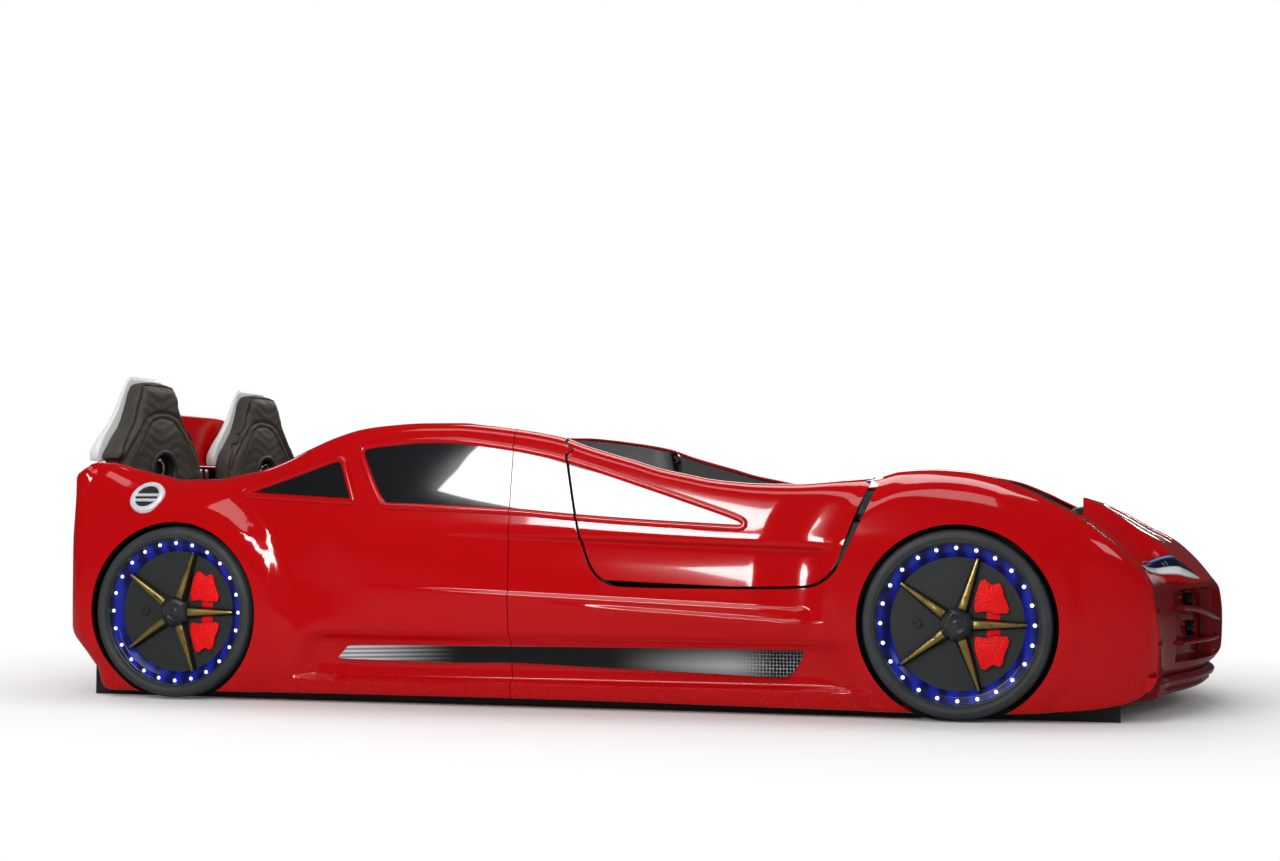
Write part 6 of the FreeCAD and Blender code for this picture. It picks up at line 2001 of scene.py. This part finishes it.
def finishNodes():
    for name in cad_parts:
        obj = bpy.data.objects.get(name)
        if obj is None or obj.type != "MESH":
            continue
        finish = next((value for key, value in nodeFinish.items() if key in name), None)
        if finish is None:
            continue
        for slot in obj.material_slots:
            slot.material = finishes[finish]


finishNodes()

# ---------------------------------------------------------------- floor, backdrop and lamps
stageSetup = {
    "floorSize": 24.0,
    "floorZ": -0.0005,
    "floorColour": (0.90, 0.90, 0.90, 1),
    "fadeFrom": 0.95,
    "fadeTo": 2.3,
    "dimFloor": 0.04,
    "sky": 0.34,
    "room": 0.035,
}


def addStage():
    clearSelection()
    bpy.ops.mesh.primitive_plane_add(size=stageSetup["floorSize"], location=(0, 3, stageSetup["floorZ"]))
    floor = bpy.context.active_object
    floor.name = "floor"
    bpy.ops.object.transform_apply(location=True)
    material, tree, shader = newMaterial("floorPaper")
    shader.inputs["Base Color"].default_value = stageSetup["floorColour"]
    shader.inputs["Roughness"].default_value = 0.6
    shader.inputs["Specular IOR Level"].default_value = 0.2
    # further out the paper runs into the white of the backdrop
    place = addNode(tree, "ShaderNodeTexCoord").outputs["Object"]
    flat = addNode(tree, "ShaderNodeVectorMath", operation="MULTIPLY")
    flat.inputs[1].default_value = (1.0, 1.5, 0.0)
    tree.links.new(place, flat.inputs[0])
    away = addNode(tree, "ShaderNodeVectorMath", operation="LENGTH")
    tree.links.new(flat.outputs[0], away.inputs[0])
    fade = rampOut(tree, away.outputs["Value"], stageSetup["fadeFrom"], stageSetup["fadeTo"])
    path = tree.nodes.new("ShaderNodeLightPath")
    glow = addNode(tree, "ShaderNodeEmission", in_Color=(1, 1, 1, 1), in_Strength=1.0)
    mix = tree.nodes.new("ShaderNodeMixShader")
    tree.links.new(mathNode(tree, "MULTIPLY", fade, path.outputs["Is Camera Ray"]), mix.inputs[0])
    tree.links.new(shader.outputs[0], mix.inputs[1])
    tree.links.new(glow.outputs[0], mix.inputs[2])
    # the paint mirrors a dim floor, as under a studio lamp with black flags
    dim = addNode(tree, "ShaderNodeEmission", in_Color=(1, 1, 1, 1), in_Strength=stageSetup["dimFloor"])
    mirror = tree.nodes.new("ShaderNodeMixShader")
    tree.links.new(mathNode(tree, "MULTIPLY", path.outputs["Is Glossy Ray"], 0.85), mirror.inputs[0])
    tree.links.new(mix.outputs[0], mirror.inputs[1])
    tree.links.new(dim.outputs[0], mirror.inputs[2])
    out = next(node for node in tree.nodes if node.type == "OUTPUT_MATERIAL")
    tree.links.new(mirror.outputs[0], out.inputs["Surface"])
    floor.data.materials.append(material)
    world = bpy.data.worlds.new("studio")
    scene.world = world
    world.use_nodes = True
    tree = world.node_tree
    tree.nodes.clear()
    out = tree.nodes.new("ShaderNodeOutputWorld")
    seen = addNode(tree, "ShaderNodeBackground", in_Color=(1, 1, 1, 1), in_Strength=1.0)
    light = addNode(tree, "ShaderNodeBackground", in_Color=(1, 1, 1, 1), in_Strength=stageSetup["sky"])
    mix = tree.nodes.new("ShaderNodeMixShader")
    path = tree.nodes.new("ShaderNodeLightPath")
    tree.links.new(path.outputs["Is Camera Ray"], mix.inputs[0])
    # mirrors see a dim room, so that only the lamps shine in the paint
    light.inputs["Strength"].default_value = stageSetup["sky"]
    room = mathNode(tree, "SUBTRACT", stageSetup["sky"], mathNode(
        tree, "MULTIPLY", path.outputs["Is Glossy Ray"], stageSetup["sky"] - stageSetup["room"]))
    tree.links.new(room, light.inputs["Strength"])
    tree.links.new(light.outputs[0], mix.inputs[1])
    tree.links.new(seen.outputs[0], mix.inputs[2])
    tree.links.new(mix.outputs[0], out.inputs["Surface"])


lampSetup = [
    # name, place, aim, width, height, roll, power
    ("sideBox", (-0.63, -3.15, 1.385), (-0.10, -0.50, 0.42), 1.46, 0.36, -21, 35),
    ("keyLamp", (-0.40, -2.60, 3.60), (0.00, -0.40, 0.25), 3.00, 1.30, 0, 31),
    ("topLamp", (0.2, 0.6, 3.6), (0.0, 0.0, 0.2), 3.2, 1.4, 0, 58),
    ("noseLamp", (3.4, -1.6, 2.2), (0.9, -0.2, 0.25), 1.4, 1.0, 0, 14),
    ("hoodStrip", (1.45, 3.60, 1.02), (1.00, -0.20, 0.32), 0.50, 0.06, 0, 1.4),
    ("tailLamp", (-3.6, 1.0, 2.0), (-1.0, 0.0, 0.3), 1.6, 1.2, 0, 26),
    ("farLamp", (-0.4, 3.8, 2.2), (0.0, 0.3, 0.2), 2.6, 1.0, 0, 30),
]


def addLamps():
    for name, place, aim, width, height, roll, power in lampSetup:
        data = bpy.data.lights.new(name, "AREA")
        data.shape = "RECTANGLE"
        data.size, data.size_y, data.energy = width, height, power
        lamp = bpy.data.objects.new(name, data)
        scene.collection.objects.link(lamp)
        lamp.visible_camera = False
        turn = (Vector(aim) - Vector(place)).to_track_quat("-Z", "Y")
        lamp.matrix_world = Matrix.Translation(place) @ turn.to_matrix().to_4x4() @ Matrix.Rotation(
            math.radians(roll), 4, "Z")


addStage()
addLamps()
scene.view_settings.view_transform = "Standard"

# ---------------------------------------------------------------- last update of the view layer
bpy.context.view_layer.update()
